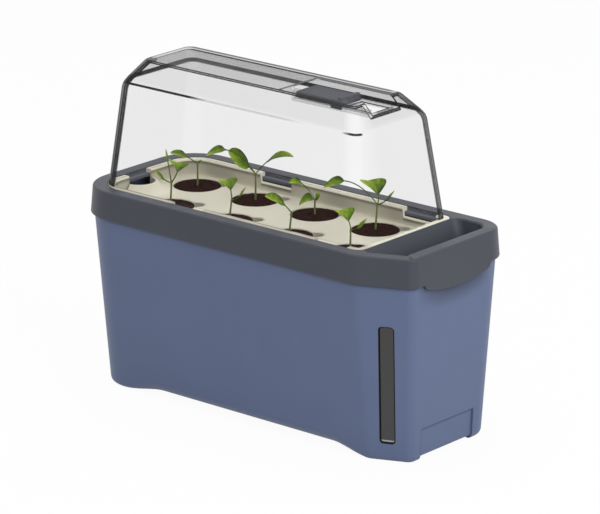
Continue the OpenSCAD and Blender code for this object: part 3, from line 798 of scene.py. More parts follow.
def make_frame():
    """Rim frame: flared skirt with the grip lip, top land, opening with the tray's ledge, and trough."""
    shell = Shell()
    plan = frame_plan(0, FRAME_END_CUTS)
    hang = [LIP_DROP * lip_share(p.y) if p.x > FRAME_X - 2 else 0 for p in plan]

    def row(grow, z, hung=0.0):
        return shell.loop(frame_plan(grow, FRAME_END_CUTS), [z - hung * drop for drop in hang])

    def flare(z):
        return FLARE * (1 - max(z - SKIRT_LOW, 0) / (FRAME_TOP - 1.6 - SKIRT_LOW))

    inner = [row(-2.2, RIM_TOP)]
    inner += [
        row(grow, SKIRT_LOW + up, hung)
        for grow, up, hung in ((-1.2, 12.3, 0), (-0.2, 2.0, 0.6), (-0.2, 0.5, 1))]
    outer = [
        row(grow, SKIRT_LOW + up, 1)
        for grow, up in ((0.2, 0), (1.0, 0), (1.5, 0.15), (1.85, 0.5), (FLARE, 1.1))]
    outer += [
        row(flare(SKIRT_LOW + up), SKIRT_LOW + up, hung)
        for up, hung in ((1.9, 0.85), (3.8, 0.5), (6.3, 0), (12.3, 0), (18.3, 0))]
    start = FRAME_TOP - EDGE_R
    strip_first = FACET_FIRST + CASE_RUNS[1] + 5
    rise = [strip_rise(i, strip_first, strip_first + 60, 24) for i in range(len(plan))]
    for sin, cos in quarter(6):
        points = frame_plan(flare(start) - EDGE_R * (1 - cos), FRAME_END_CUTS)
        outer.append(shell.loop(points, [start + (EDGE_R + lift) * sin for lift in rise]))
    shell.skin(inner + outer)

    open_runs = (60, 24, 60, 16)
    mouth = []
    for sin, cos in quarter(4):
        points = open_plan(-MOUTH_R * (1 - sin), open_runs)
        mouth.append(shell.loop(points, FRAME_TOP - MOUTH_R * (1 - cos)))
    mouth += [
        shell.loop(open_plan(inset, open_runs), LEDGE_TOP + up)
        for inset, up in ((0, 0.6), (0.2, 0.15), (0.6, 0), (4.5, 0), (4.85, -0.15), (5.0, -0.5), (5.0, -3.0))]
    shell.skin(mouth[:5])
    # The opening's wall and ledge take the lighter grey, painted light where they lie in shade
    shell.skin(mouth[4:], paint=2)

    def trough_row(z, tuck, left_wall=0.0, wall=0.0):
        """Row of the trough's leaning walls at a height, drawn in by the tuck and grown by the walls."""
        sunk = (FRAME_TOP - z) / TROUGH_DEPTH
        left = TROUGH_LEFT - left_wall + LEFT_LEAN * sunk + tuck
        return shell.loop(trough_plan(left, wall - LEAN * sunk - tuck), z)

    pocket = []
    for sin, cos in quarter(5):
        points = trough_plan(TROUGH_LEFT - MOUTH_R * (1 - sin), POCKET_R * (1 - sin))
        heights = []
        for i, p in enumerate(points):
            radius = lerp(MOUTH_R, POCKET_R, ease((p.x - TROUGH_LEFT) / 9))
            heights.append(FRAME_TOP - radius * (1 - cos) + strip_rise(i, 18, 48, 12) * cos)
        pocket.append(shell.loop(points, heights))
    wall_top, wall_low = FRAME_TOP - POCKET_R, TROUGH_FLOOR + 4
    pocket += [trough_row(lerp(wall_top, wall_low, share), 0) for share in (0.353, 0.706, 1)]
    pocket += [trough_row(TROUGH_FLOOR + up, tuck) for up, tuck in ((1.2, 1.0), (0, 4.0))]
    shell.skin(pocket[:6])
    # The trough's lower walls and floor take the lighter grey, painted light in their shade
    shell.skin(pocket[5:], paint=1)
    shell.fill(pocket[-1], paint=1)
    shell.fill(outer[-1], mouth[0], pocket[0])

    collar = [row(-11.6, RIM_TOP), row(-11.6, LEDGE_LOW)]
    shell.skin([inner[0]] + collar)
    tank = [
        trough_row(TROUGH_UNDER + up, tuck, TROUGH_LEFT_WALL, TROUGH_WALL)
        for up, tuck in ((22.2, 0), (13.6, 0), (5.6, 0), (1.6, 0.6), (0, 2.4))]
    shell.skin(tank)
    shell.fill(tank[-1])
    shell.fill(collar[-1], mouth[-1], tank[0])
    finishes = [FRAME_GREY, TROUGH_PAINTED_LIGHT, LEDGE_PAINTED_LIGHT]
    shell.done("rim_frame", "upper_frame", ["frame"], finishes)


# Tray

PLANTS = range(1, 9)
CELL_R, CELL_LOW_R, CELL_WALL = 22.4, 18.0, 1.4
CELL_MIDDLE, WICK_HOLE_R = 140.0, 5.0
NOTCH_OUT, NOTCH_R, NOTCH_DEPTH, NOTCH_HALO = 24.6, 6.5, 8.0, 3.4
NOTCH_FLOOR = TRAY_FLOOR - NOTCH_DEPTH
HOLE_STEPS = 112
SOFTEN = ((-2, 1), (-1, 2), (0, 3), (1, 2), (2, 1))
CUTOUTS = ((-84.0, -47.0), (84.0, 121.0))
CUTOUT_DEPTH = 7.8
FILLER_X, FILLER_Y, FILLER_R, FILLER_GAP = -170.8, -12.0, 15.0, 14.8
WALL_IN, WALL_EDGE, WALL_FACE = 5.4, 5.5, 7.0
FLOOR_SHADE, CUP_SHADE = 0.16, 0.8


def cell_middle(number):
    """Middle of a cell in plan, which is that of its plug."""
    low, high = node_box(f"plug_{number}")
    return (low.x + high.x) / 2, (low.y + high.y) / 2


CELLS = [cell_middle(number) for number in PLANTS]


def cell_radius(z):
    return lerp(CELL_LOW_R, CELL_R, (z - CELL_FLOOR) / (TRAY_FLOOR - CELL_FLOOR))


def hole_reach(angle, radius, grow):
    """Distance from a cell's axis to the edge of its hole, finger notch included."""
    notch_r = NOTCH_R + grow
    turn = (angle - math.pi / 4 + math.pi) % (2 * math.pi) - math.pi
    aside = NOTCH_OUT * math.sin(turn)
    plain = radius + grow
    if abs(turn) > 1.2 or abs(aside) >= notch_r:
        return plain
    far = NOTCH_OUT * math.cos(turn) + math.sqrt(notch_r ** 2 - aside ** 2)
    return max(plain, far)


def hole_plan(cell, radius, grow, notched=True):
    """Outline of a cell at one level, plain or with its finger notch, softened where the two meet."""
    reach = []
    for k in range(HOLE_STEPS):
        angle = 2 * math.pi * k / HOLE_STEPS
        reach.append(hole_reach(angle, radius, grow) if notched else radius + grow)
    points = []
    for k, (cos, sin) in enumerate(spokes(HOLE_STEPS)):
        soft = sum(weight * reach[(k + step) % HOLE_STEPS] for step, weight in SOFTEN) / 9
        points.append((cell[0] + soft * cos, cell[1] + soft * sin))
    return points


def tray_runs():
    """Cuts along the tray's walls: close together at the ends of the cut-outs and of the filler gap."""
    places = [-144 + 8 * k for k in range(34)]
    near_end = []
    for cutout in CUTOUTS:
        for end in cutout:
            places = [x for x in places if abs(x - end) > 3]
            near_end += [end + step for step in (-1.0, -0.4, 0, 0.4, 1.0)]
    across = sorted(places + near_end)
    ends = [36 - 3 * k for k in range(25)]
    ends = [y for y in ends if abs(y - FILLER_Y) > 16] + [FILLER_Y + FILLER_GAP, FILLER_Y - FILLER_GAP]
    return (0, across), 12, (0, across[::-1]), (1, sorted(ends)[::-1])


def make_cell(shell, cell):
    """A cell's notched mouth, cup and outer skin. Gives its edges in the tray's floor and underside."""
    def plain(radius, z, grow=0.0, shade=0.0):
        return shell.loop(hole_plan(cell, radius, grow, notched=False), z, shade=shade)

    notch = [ease((math.dist(p, cell) - CELL_R) / 4) for p in hole_plan(cell, CELL_R, 0)]
    rows = []
    if cell[1] < 0:
        rows.append(shell.loop(hole_plan(cell, CELL_R, NOTCH_HALO), TRAY_FLOOR, shade=FLOOR_SHADE))
    for grow, drop, dark in (
            (0.7, 0, 0.2), (0.3, 0.13, 0.22), (0.08, 0.4, 0.24), (0, 0.8, 0.26), (-0.1, NOTCH_DEPTH, 0.2)):
        shades = [FLOOR_SHADE + dark * share for share in notch]
        rows.append(shell.loop(hole_plan(cell, CELL_R, grow), TRAY_FLOOR - drop, shade=shades))
    rows += [plain(cell_radius(z), z, shade=CUP_SHADE) for z in (NOTCH_FLOOR, CELL_MIDDLE, CELL_FLOOR)]
    rows += [plain(WICK_HOLE_R, z) for z in (CELL_FLOOR, CELL_UNDER)]
    notch_under = NOTCH_FLOOR - CELL_WALL
    rows += [plain(cell_radius(z), z, CELL_WALL) for z in (CELL_UNDER, CELL_MIDDLE, notch_under)]
    rows += [shell.loop(hole_plan(cell, CELL_R, CELL_WALL), z) for z in (notch_under, TRAY_UNDER)]
    shell.skin(rows)
    return rows[0], rows[-1]


def make_tray():
    """Tray: a flange on the frame's ledge, walls with cut-outs, a filler collar and eight cells."""
    shell = Shell("shade")
    runs = tray_runs()
    wall = open_plan(WALL_IN, runs)
    cut = []
    for p in wall:
        share = 0.0
        if abs(p.y) > OPEN_SIDE - 6:
            share = max(ease((p.x - a + 0.4) / 0.8) * ease((b + 0.4 - p.x) / 0.8) for a, b in CUTOUTS)
        cut.append(share)
    top = [FLANGE_TOP - CUTOUT_DEPTH * share for share in cut]
    at_gap = [p.x < OPEN_LEFT + 8 and abs(p.y - FILLER_Y) < FILLER_GAP + 0.1 for p in wall]
    gap = [i for i in range(len(wall)) if at_gap[i] and at_gap[(i + 1) % len(wall)]]

    def edge(inset):
        """Flange at an inset from its edge, drawn in to the wall where a cut-out takes it away."""
        moved = open_plan(FLANGE_IN + inset, runs)
        return [a.lerp(b, share) for a, b, share in zip(moved, wall, cut)]

    rows = [
        shell.loop(wall, TRAY_UNDER),
        shell.loop(wall, [min(LEDGE_TOP, z) for z in top]),
        shell.loop(edge(0), [min(LEDGE_TOP, z - 0.7) for z in top]),
        shell.loop(edge(0), [z - 0.6 for z in top]),
        shell.loop(edge(0.2), [z - 0.2 for z in top]),
        shell.loop(edge(0.6), top),
        shell.loop(open_plan(WALL_EDGE, runs), top)]
    radius = WALL_FACE - WALL_EDGE
    for sin, cos in quarter(4)[1:]:
        points = open_plan(WALL_EDGE + radius * sin, runs)
        rows.append(shell.loop(points, [z - radius * (1 - cos) for z in top]))
    rows += [
        shell.loop(open_plan(WALL_FACE, runs), [z - drop for z in top], shade=shade)
        for drop, shade in ((2.1, 0.85), (4.0, 0.62), (5.2, 0.42))]
    rows += [
        shell.loop(open_plan(WALL_FACE + tuck, runs), TRAY_FLOOR + up, shade=shade)
        for tuck, up, shade in ((0.05, 3.6, 0.36), (0.15, 1.6, 0.28), (0.5, 0.6, 0.2), (1.5, 0, FLOOR_SHADE))]
    shell.skin(rows, skip=gap)
    start, stop = gap[0], gap[-1] + 1
    for i in (start, stop):
        shell.patch([row[i] for row in rows])

    def collar_arc(out, z):
        radius = FILLER_R + out
        angles = [math.radians(80 - 160 * k / 24) for k in range(25)]
        points = [(FILLER_X + radius * math.cos(a), FILLER_Y + radius * math.sin(a)) for a in angles]
        return shell.loop(points, z)

    outer_low = collar_arc(1.6, TRAY_UNDER)
    collar = [
        collar_arc(out, TRAY_FLOOR + up)
        for out, up in (
            (12.5, 0), (11.0, 0.15), (9.0, 0.8), (6.8, 2.4), (4.6, 4.6), (2.8, 6.8), (1.9, 7.9), (1.2, 8.3),
            (0.7, 8.4), (0.25, 8.15), (0, 7.6))]
    collar.append(collar_arc(0, TRAY_UNDER))
    shell.skin(collar, closed=False)
    shell.strip(collar[-1], outer_low, closed=False)
    order = list(range(stop, len(wall))) + list(range(0, start + 1))
    floor_loop = [rows[-1][i] for i in order] + collar[0]
    under_loop = [rows[0][i] for i in order] + outer_low
    holes, unders = zip(*[make_cell(shell, cell) for cell in CELLS])
    shell.fill(floor_loop, *holes)
    shell.fill(under_loop, *unders)
    shell.done("planting_tray", "planting_tray", ["tray"], [TRAY_CREAM])


# Plugs and wicks


def ripple(x, y, z, scale):
    return noise.noise(Vector((x, y, z)) / scale)


def make_plug(number):
    """Coir plug with a crumbly top, a little sunk at its rim."""
    shell = Shell()
    x, y = CELLS[number - 1]

    def ring(radius, z, rough, lift):
        points = []
        for cos, sin in spokes(72):
            px, py = x + radius * cos, y + radius * sin
            shake = rough * ripple(px, py, z, 3.2)
            crumbs = ripple(px, py, 5.0, 4.5) + 0.6 * ripple(px, py, 9.0, 1.9)
            high = lift * (crumbs + 1.4 - 1.4 * (radius / 22) ** 2)
            points.append((px + shake * cos, py + shake * sin, z + high))
        return shell.loop(points)

    low_r, high_r = 17.7, 21.6
    rows = [ring(low_r - 3, PLUG_LOW, 0.2, 0.0)]
    for k in range(9):
        z = lerp(PLUG_LOW + 0.3, SOIL_TOP - 1.2, k / 8)
        rows.append(ring(lerp(low_r, high_r, k / 8), z, 0.35, 0.0))
    crown = [(21.75, 0.35, 0.2), (20.6, 0.1, 0.5), (18.6, 0, 0.7)]
    crown += [(radius, 0, 0.8) for radius in (16.6, 14.4, 12.2, 10.0, 8.0, 6.2, 4.6)]
    crown += [(3.2, 0, 0.7), (2.0, 0, 0.5), (1.0, 0, 0.3)]
    rows += [ring(radius, SOIL_TOP - drop, 0.3, lift) for radius, drop, lift in crown]
    shell.bar(rows)
    shell.done(
        f"soil_plug_{number}", f"plant_{number}", [f"plug_{number}"], [PLUG_COIR], crease=80)


def make_wick(number):
    """Felt wick: a spread head under the plug and a limp stem down into the water."""
    shell = Shell()
    x, y = CELLS[number - 1]
    tip = TUB_FLOOR + 5
    outline = [(0.8, tip), (3.6, tip + 0.1), (4.3, tip + 1)]
    outline += [(4.35, tip + 6 + 7.5 * k) for k in range(12)]
    head = ((4.4, -2), (4.6, -0.2), (8.4, 0.2), (8.9, 0.6), (8.8, 1.1), (8.0, 1.4), (3.0, 1.45), (0.8, 1.45))
    outline += [(radius, CELL_FLOOR + up) for radius, up in head]
    rows = []
    for radius, z in outline:
        points = []
        for cos, sin in spokes(36):
            worn = radius * (1 - 0.05 * abs(ripple(x + radius * cos, y + radius * sin, z, 2.4)))
            points.append((x + worn * cos, y + worn * sin, z))
        rows.append(shell.loop(points))
    shell.bar(rows)
    shell.done(
        f"felt_wick_{number}", "planting_tray", [f"wick_{number}"], [WICK_FELT], crease=70)


# Seedlings

STEM_H = (21.6, 25.5, 14.7, 24.6, 22.5, 19.9, 22.1, 20.2)
STEM_LEAN = (0, 0.3, 0.2, 1.5, 1.1, 2.6, 2.6, 0.2)
LEAN_TO = math.radians(40)
PLAIN, BROAD = 0.8, 2.0

# Each leaf's heading, reach, rise of the tip, arch, sway, width, roll, share of stalk and where it is widest
LEAVES = (
    ((215, 24.9, 9.8, 3, 0, 9, -25, 0.4, PLAIN), (75, 5, 2.5, 0.5, 0, 4, 0, 0.3, PLAIN)),
    ((200, 26.1, 19.1, 2, 0, 15, -55, 0.26, PLAIN), (212, 45.4, 15.5, 13, 0, 9, -35, 0.62, PLAIN),
     (15, 38.5, 20.9, 8, 0, 8.5, 30, 0.3, PLAIN)),
    ((222, 14.1, -4.6, 4, 0, 10, -35, 0.15, PLAIN), (50, 4.8, 5.4, 0.5, 0, 8, 35, 0.1, PLAIN),
     (225, 23.6, 16.5, 7.5, 0, 8, -30, 0.5, PLAIN)),
    ((166, 10.7, 19.3, -1.5, -5.3, 28.5, 8, 0.42, BROAD), (40, 16.7, 12.7, -3, 0, 5, 20, 0.5, PLAIN),
     (208, 46.8, 12.9, 12.5, 0, 10.5, -40, 0.64, PLAIN)),
    ((110, 16, 14.9, 2.8, -3.7, 20, 8, 0.42, BROAD), (220, 13.7, 12.2, -2, 0, 6, -30, 0.45, PLAIN),
     (152, 10.7, 28.5, 0, 0, 2, 0, 0.6, PLAIN)),
    ((147, 9.4, 16.4, 1.4, -1.4, 18, 0, 0.42, BROAD), (40, 15.5, 12.8, -3, 0, 5, 25, 0.5, PLAIN)),
    ((205, 21.9, 13.9, 4, 0, 9.5, -30, 0.28, PLAIN), (330, 8, 3, 1, 0, 5, 0, 0.36, PLAIN)),
    ((171, 12.1, 15.7, 0, -2.6, 23, 6, 0.42, BROAD), (40, 14.2, 10.5, -2.5, 0, 6.5, 25, 0.4, PLAIN)))
LEAF_STEPS, LEAF_SIDES = 24, 5


def leaf_half(t, half, stalk, skew):
    """Half width of a leaf along its length: a thin stalk, then a full blade with a small tip."""
    blade = max((t - stalk) / (1 - stalk), 0.0)
    return max(lerp(0.7, 0.25, t), half * max(math.sin(math.pi * blade ** skew), 0.0) ** 0.58)


def make_leaf(shell, root, straight_root, shape):
    """Leaf from the stem's top to the tip that an upright stem would give it."""
    heading, reach, rise, arch, sway, width, roll, stalk, skew = shape
    angle, tilt = math.radians(heading), math.radians(roll)
    on = Vector((math.cos(angle), math.sin(angle), 0))
    level = Vector((-math.sin(angle), math.cos(angle), 0))
    aside = level * math.cos(tilt) + UP * math.sin(tilt)
    over = UP * math.cos(tilt) - level * math.sin(tilt)
    tip = straight_root + on * reach + UP * rise
    side = [j / LEAF_SIDES for j in range(-LEAF_SIDES, LEAF_SIDES + 1)]
    upper, lower = [], []
    for k in range(LEAF_STEPS + 1):
        t = k / LEAF_STEPS
        half = leaf_half(t, width / 2, stalk, skew)
        spine = root.lerp(tip, t) + (UP * arch + level * sway) * 4 * t * (1 - t)
        along = max((t - stalk) / (1 - stalk), 0.0)
        blade = ease(along / 0.3)
        wave = 0.3 * math.sin(t * 9 + heading) * blade
        top_row, low_row = [], []
        for s in side:
            fold = 0.3 * half * abs(s) ** 1.4 * blade + wave * s * abs(s)
            thick = lerp(0.6, 0.28, blade) * math.sqrt(max(1 - s * s, 0.0)) + 0.05
            place = spine + aside * half * s + over * fold
            top_row.append(place + over * thick)
            low_row.append(place - over * thick)
        upper.append(shell.loop(top_row, along=along, across=side))
        lower.append(shell.loop(low_row, along=along, across=side))
    shell.skin(upper, closed=False)
    shell.skin(lower, closed=False)
    for k in range(LEAF_STEPS):
        for end in (0, -1):
            shell.patch([upper[k][end], upper[k + 1][end], lower[k + 1][end], lower[k][end]])
    for end in (0, -1):
        shell.strip(upper[end], lower[end], closed=False)


def make_stem(shell, root, top):
    """Stem from its root in the soil to the leaves, a little bowed, with a swelling at the leaf node."""
    height = top.z - root.z
    rows = []
    for k in range(15):
        z = lerp(-8.5, height, k / 14)
        above = max(z / height, 0.0)
        bow = Vector((0.5 * math.sin(above * 3.0 + root.x), 0.4 * math.sin(above * 2.4 + root.y), 0))
        middle = root + (top - root) * above + bow * above * (1 - above)
        middle.z = root.z + z
        radius = lerp(0.98, 0.72, above) + 0.45 * max(1 - abs(above - 0.97) / 0.09, 0.0)
        rows.append(shell.loop([middle + Vector((radius * cos, radius * sin, 0)) for cos, sin in spokes(12)]))
    shell.bar(rows, paint=1)


def make_seedling(number):
    """Seedling in its cell: the stem, and each leaf from the stem's top."""
    shell = Shell("along", "across")
    x, y = CELLS[number - 1]
    root = Vector((x, y, SOIL_TOP))
    straight = root + UP * STEM_H[number - 1]
    top = straight + Vector((math.cos(LEAN_TO), math.sin(LEAN_TO), 0)) * STEM_LEAN[number - 1]
    make_stem(shell, root, top)
    for shape in LEAVES[number - 1]:
        make_leaf(shell, top - UP * 0.9, straight - UP * 0.9, shape)
    shell.done(
        f"herb_seedling_{number}", f"plant_{number}", [f"seedling_{number}"],
        [LEAF_GREEN, STEM_GREEN], crease=60)


# Hood

# Thickness, length up the sloped band, reach of the bends, and the inner skin's offsets at roof and chamfer
HOOD_T, BAND_SLANT = 2.0, 26.0
BEND_DOWN, BEND_UP, EDGE_DOWN = 4.0, 7.0, 2.5
ROOF_TUCK, CHAMFER_TUCK = 0.43, 0.59

# Left, right, half width and corner radii of the hood's outline, from its foot up to its roof
HOOD_LOW = (HOOD_MIN.x, HOOD_MAX.x, HOOD_MAX.y, 17, 8)
HOOD_MID = (-159.8, 120.6, 50.0, 9, 8)
HOOD_HIGH = (-146.8, 102.8, 32.2, 9, 4)
HOOD_TOP = (-144.6, 100.3, 29.7, 7, 1.6)
ROOF_EDGE = (-144.2, 99.9, 26.9, 6, 1.4)
ROOF_FLAT = (-143.6, 99.5, 26.2, 5.4, 1.2)

# Columns of an outline: arcs at the corners, cuts between them, and those across the vent channel's mouth
HOOD_ARCS = (14, 8, 8, 14)
HOOD_FRONT = [0.004 * k for k in range(1, 9)] + [k / 25 for k in range(1, 25)]
HOOD_RIGHT, HOOD_BACK, HOOD_LEFT = 13, 26, 10
RIGHT_FIRST = HOOD_ARCS[0] + 1 + len(HOOD_FRONT)
RIGHT_LAST = RIGHT_FIRST + HOOD_ARCS[1]
BACK_CORNER = RIGHT_LAST + 1 + HOOD_RIGHT
BACK_FIRST = BACK_CORNER + HOOD_ARCS[2] + 1
MOUTH_FIRST = RIGHT_LAST + 2
MOUTH = range(MOUTH_FIRST, MOUTH_FIRST + 6)
MOUTH_LAST = MOUTH[-1] + 1

# How dark the clear sheet is painted, standing in for refraction: across its two thick corners, at the
# channel's mouth, bends and roof edge
CORNER_ACROSS = Vector((0.7615, 0.648))
LEFT_CORNER = ((0, 0.7), (4.2, 0.66), (4.7, 0.84), (5.6, 0.84), (6.1, 0))
RIGHT_CORNER = (
    (0, 0.92), (0.8, 0.9), (1.1, 0.7), (1.9, 0.7), (2.2, 0.46), (3.0, 0.46), (3.3, 0.68), (4.3, 0.68),
    (4.8, 0))
CORNER_CUTS = (4.85, 4.2, 3.2, 2.4)
MOUTH_DARK, BROAD_DARK, FINE_DARK, EDGE_DARK, BACK_DARK = 1.9, 0.8, 0.94, 0.95, 0.92

# Vent opening, outlines of the slider's hooked rails and its stop above the channel's floor, and the clip
VENT_PLAN = (
    (VENT_LEFT, -VENT_HALF), (VENT_RIGHT, -VENT_HALF), (VENT_RIGHT, VENT_HALF), (VENT_LEFT, VENT_HALF))
RAIL_ENDS, STOP_ENDS = (25.8, 107.0), (-11.0, 11.0)
RAIL = ((15.7, 0), (17.2, 0), (17.2, 3.6), (14.2, 3.6), (14.2, 2.1), (15.7, 2.1))
STOP = ((109.6, 0), (111.1, 0), (109.6, 2.1))
CLIP_ENDS, CLIP_OUT = (65.0, 77.0), 19.3


def profile(place, steps):
    """Height at a place of the line through some (place, height) steps, level beyond them."""
    for (start, low), (end, high) in zip(steps, steps[1:]):
        if place < end:
            return lerp(low, high, max(place - start, 0) / (end - start))
    return steps[-1][1]


def hood_plan(left, right, side, left_r, right_r, half):
    """Outline of the hood at one height, cut at its right end beside and across the vent channel."""
    left_r, right_r = max(left_r, 0.4), max(right_r, 0.4)
    end = side - right_r
    cuts = [-half - 1.3] + [half * k / 3 for k in range(-3, 4)] + [half + 1.3]
    for k, inside in enumerate(CORNER_CUTS):
        run = (inside - right_r * (1 - CORNER_ACROSS.x)) / CORNER_ACROSS.y
        cuts.append(min(max(end - run, half + 1.5 + 0.1 * k), end - 0.4 + 0.1 * k))
    runs = (HOOD_FRONT, (1, cuts), HOOD_BACK, HOOD_LEFT)
    return box_plan(left, right, side, (left_r, right_r, right_r, left_r), HOOD_ARCS, runs)


def hood_corners(plan, inset):
    """Painted refraction darkness of each column of a row at the thick corners, left front and right back, as
    wide at any height.
    """
    across = [CORNER_ACROSS.dot(p.to_2d()) for p in plan]
    left, right = min(across) - inset, max(across) + inset
    marks = []
    for i, place in enumerate(across):
        if i < RIGHT_FIRST:
            mark = profile(place - left, LEFT_CORNER) * ease((i - 1) / 2)
        elif i <= RIGHT_LAST:
            # The right front corner is marked to clear the sheet, a painted lighter streak for its highlight
            mark = -1.0
        elif abs(i - BACK_CORNER) < 6:
            mark = profile(right - place, RIGHT_CORNER)
        else:
            mark = 0.0
        marks.append(mark)
    return marks


def bend_marks(plan):
    """How dark each column's bend is painted, for its refraction, over its breadth and along its middle line.
    """
    broad, fine = [], []
    for i, p in enumerate(plan):
        on_left = i < HOOD_ARCS[0] or i >= BACK_FIRST - 1
        broad.append(1.0 if on_left else 0.0)
        if i < RIGHT_FIRST:
            fine.append(lerp(0.16, 1.0, ease((-60 - p.x) / 16)) * ease((60 - p.x) / 30))
        else:
            # Along the right front corner the bend's middle gets a painted dark glint
            fine.append(1.0 if i < RIGHT_LAST else 0.0)
    return broad, fine


def hood_rows(shell, inset, half, sill):
    """Rows of one skin of the hood from its foot to its roof, and the number of the row at the sill."""
    tuck = ROOF_TUCK * inset
    roof_z = HOOD_ROOF - inset

    def level(z, grow, outline):
        left, right, side, left_r, right_r = outline
        plan = hood_plan(left + grow, right - grow, side - grow, left_r - grow, right_r - grow, half)
        return [p.to_3d() + UP * z for p in plan]

    low, mid = level(FLANGE_TOP, inset, HOOD_LOW), level(HOOD_BEND, inset, HOOD_MID)
    high, top = level(roof_z, tuck, HOOD_HIGH), level(roof_z, tuck, HOOD_TOP)
    broad, fine = bend_marks(mid)
    behind = [1.0 if i < 6 or i >= BACK_FIRST else 0.0 for i in range(len(mid))]
    rows = []

    def add(points, marks):
        rows.append(shell.loop(points, edge=marks, corner=hood_corners(points, inset)))

    def toward(a, b, share):
        return [p.lerp(q, share) for p, q in zip(a, b)]

    def bow(a, b, c, share):
        return toward(toward(a, b, share), toward(b, c, share), share)

    def roof_line(all_round, back):
        """Painted refraction marks of a row above the sill: its edge line, and both sides of the channel's
        mouth.
        """
        marks = [max(all_round, back * share) for share in behind]
        marks[MOUTH_FIRST] = marks[MOUTH_LAST] = MOUTH_DARK
        return marks

    for share in (0, 0.3, 0.6, 0.9):
        add(toward(low, mid, share), 0.0)
    wall, band = toward(mid, low, BEND_DOWN / HOOD_WALL_H), toward(mid, high, BEND_UP / BAND_SLANT)
    for share, wide, slim in (
            (0, 0, 0), (0.38, 0, 0), (0.42, 0, 1), (0.48, 0.2, 1), (0.54, 1, 1), (0.58, 1, 0), (0.92, 1, 0),
            (0.96, 0, 0), (1, 0, 0)):
        marks = [max(BROAD_DARK * wide * b, FINE_DARK * slim * f) for b, f in zip(broad, fine)]
        add(bow(wall, mid, band, share), marks)
    sill_share = (sill - HOOD_BEND) / (roof_z - HOOD_BEND)
    add(toward(mid, high, sill_share - 0.07), 0.0)
    marks = [MOUTH_DARK if MOUTH_FIRST <= i <= MOUTH_LAST else 0.0 for i in range(len(mid))]
    add(toward(mid, high, sill_share), marks)
    sill_row = len(rows) - 1
    shoulder = toward(high, mid, EDGE_DOWN / BAND_SLANT)
    for share, all_round, back in (
            (0, 0, 0), (0.3, 0, 0), (0.34, 1, 1), (0.5, 1, 1), (0.72, 1, 1), (0.76, 0, 1)):
        add(bow(shoulder, high, top, share), roof_line(EDGE_DARK * all_round, EDGE_DARK * back))
    add(top, roof_line(0, BACK_DARK))
    add(level(roof_z, tuck, ROOF_EDGE), [BACK_DARK * b for b in behind])
    add(level(roof_z, tuck, ROOF_FLAT), 0.0)
    return rows, sill_row


def make_hood():
    """Clear hood: two skins with the vent channel sunk in the roof, slide rails, a stop and a clip."""
    shell = Shell("edge", "corner")
    into = Vector((-1.2, 0, 0))
    skins = []
    for inset in (0, HOOD_T):
        half, sill, roof = CHANNEL_HALF + inset, CHANNEL_FLOOR - inset, HOOD_ROOF - inset
        rows, sill_row = hood_rows(shell, inset, half, sill)
        for k, (a, b) in enumerate(zip(rows, rows[1:])):
            shell.strip(a, b, skip=MOUTH if k >= sill_row else ())
        left = CHANNEL_LEFT - inset
        corner = CHANNEL_CORNER + CHAMFER_TUCK * inset
        edge = [(left + corner, -half), (left, corner - half), (left, half - corner), (left + corner, half)]
        roof_edge, floor_edge = shell.loop(edge, roof), shell.loop(edge, sill)
        shell.strip(roof_edge, floor_edge, closed=False)
        mouth = rows[sill_row][MOUTH_FIRST:MOUTH_LAST + 1]
        lip = shell.loop([v.co + into for v in mouth])
        shell.strip(mouth, lip, closed=False)
        ends = []
        for column, near_lip, wall_end in ((MOUTH_FIRST, lip[0], 0), (MOUTH_LAST, lip[-1], 3)):
            side = [row[column] for row in rows[sill_row:]]
            inner = [near_lip] + shell.loop([v.co + into for v in side[1:]])
            shell.strip(side, inner, closed=False)
            shell.patch([floor_edge[wall_end]] + inner + [roof_edge[wall_end]])
            ends.append(inner[-1])
        around = rows[-1][MOUTH_LAST:] + rows[-1][:MOUTH_FIRST + 1]
        shell.fill(around + [ends[0]] + roof_edge + [ends[1]])
        vent = shell.loop(VENT_PLAN, sill)
        shell.fill(floor_edge[::-1] + lip, vent)
        skins.append((rows[0], vent))
    shell.strip(skins[0][0], skins[1][0])
    shell.strip(skins[0][1], skins[1][1])
    # The rails and the stop take a faint painted refraction darkness
    for side in (-1, 1):
        shell.bar([
            shell.loop([(x, side * y, CHANNEL_FLOOR + up) for y, up in RAIL], edge=0.1) for x in RAIL_ENDS])
    shell.bar([shell.loop([(x, y, CHANNEL_FLOOR + up) for x, up in STOP], edge=0.2) for y in STOP_ENDS])
    clip = [box_plan(*CLIP_ENDS, 0.9, [0.4] * 4, [3] * 4, [1] * 4)] * 2
    heights = (CHANNEL_FLOOR - 0.7, CHANNEL_FLOOR + 2.5)
    shell.solid(clip, heights, paint=1, place=lambda p: (p[0], p[1] - CLIP_OUT, p[2]))
    finishes = [HOOD_CLEAR, SLIDER_GREY]
    hood = shell.done("clear_hood", "clear_hood", ["hood"], finishes, crease=30)
    hood.visible_shadow = False


def make_slider():
    """Shutter plate with side flanges and a low finger rib across its right end."""
    shell = Shell()

    def slab(left, right, half, low, high, radius, bevel):
        plans = [
            box_plan(left + b, right - b, half - b, [max(radius - b, 0.2)] * 4, [5] * 4, [1] * 4)
            for b in (bevel, 0, 0, bevel * 0.3, bevel)]
        steps = (low, low + bevel, high - bevel, high - bevel * 0.3, high)
        shell.solid(plans, [CHANNEL_FLOOR + up for up in steps])

    left, right, rib = 19.8, 71.8, 4.4
    slab(left, right, 15.4, 0.3, 1.8, 1.5, 0.3)
    slab(left, right, 13.9, 0.5, 5.2, 1.5, 0.6)
    slab(right - rib, right, 13.0, 4.1, 7.4, 1.0, 0.6)
    shell.done("vent_shutter_plate", "vent_shutter", ["vent_slider"], [SLIDER_GREY])


make_tub()
make_window()
make_frame()
make_tray()
for plant in PLANTS:
    make_plug(plant)
    make_wick(plant)
    make_seedling(plant)
make_hood()
make_slider()

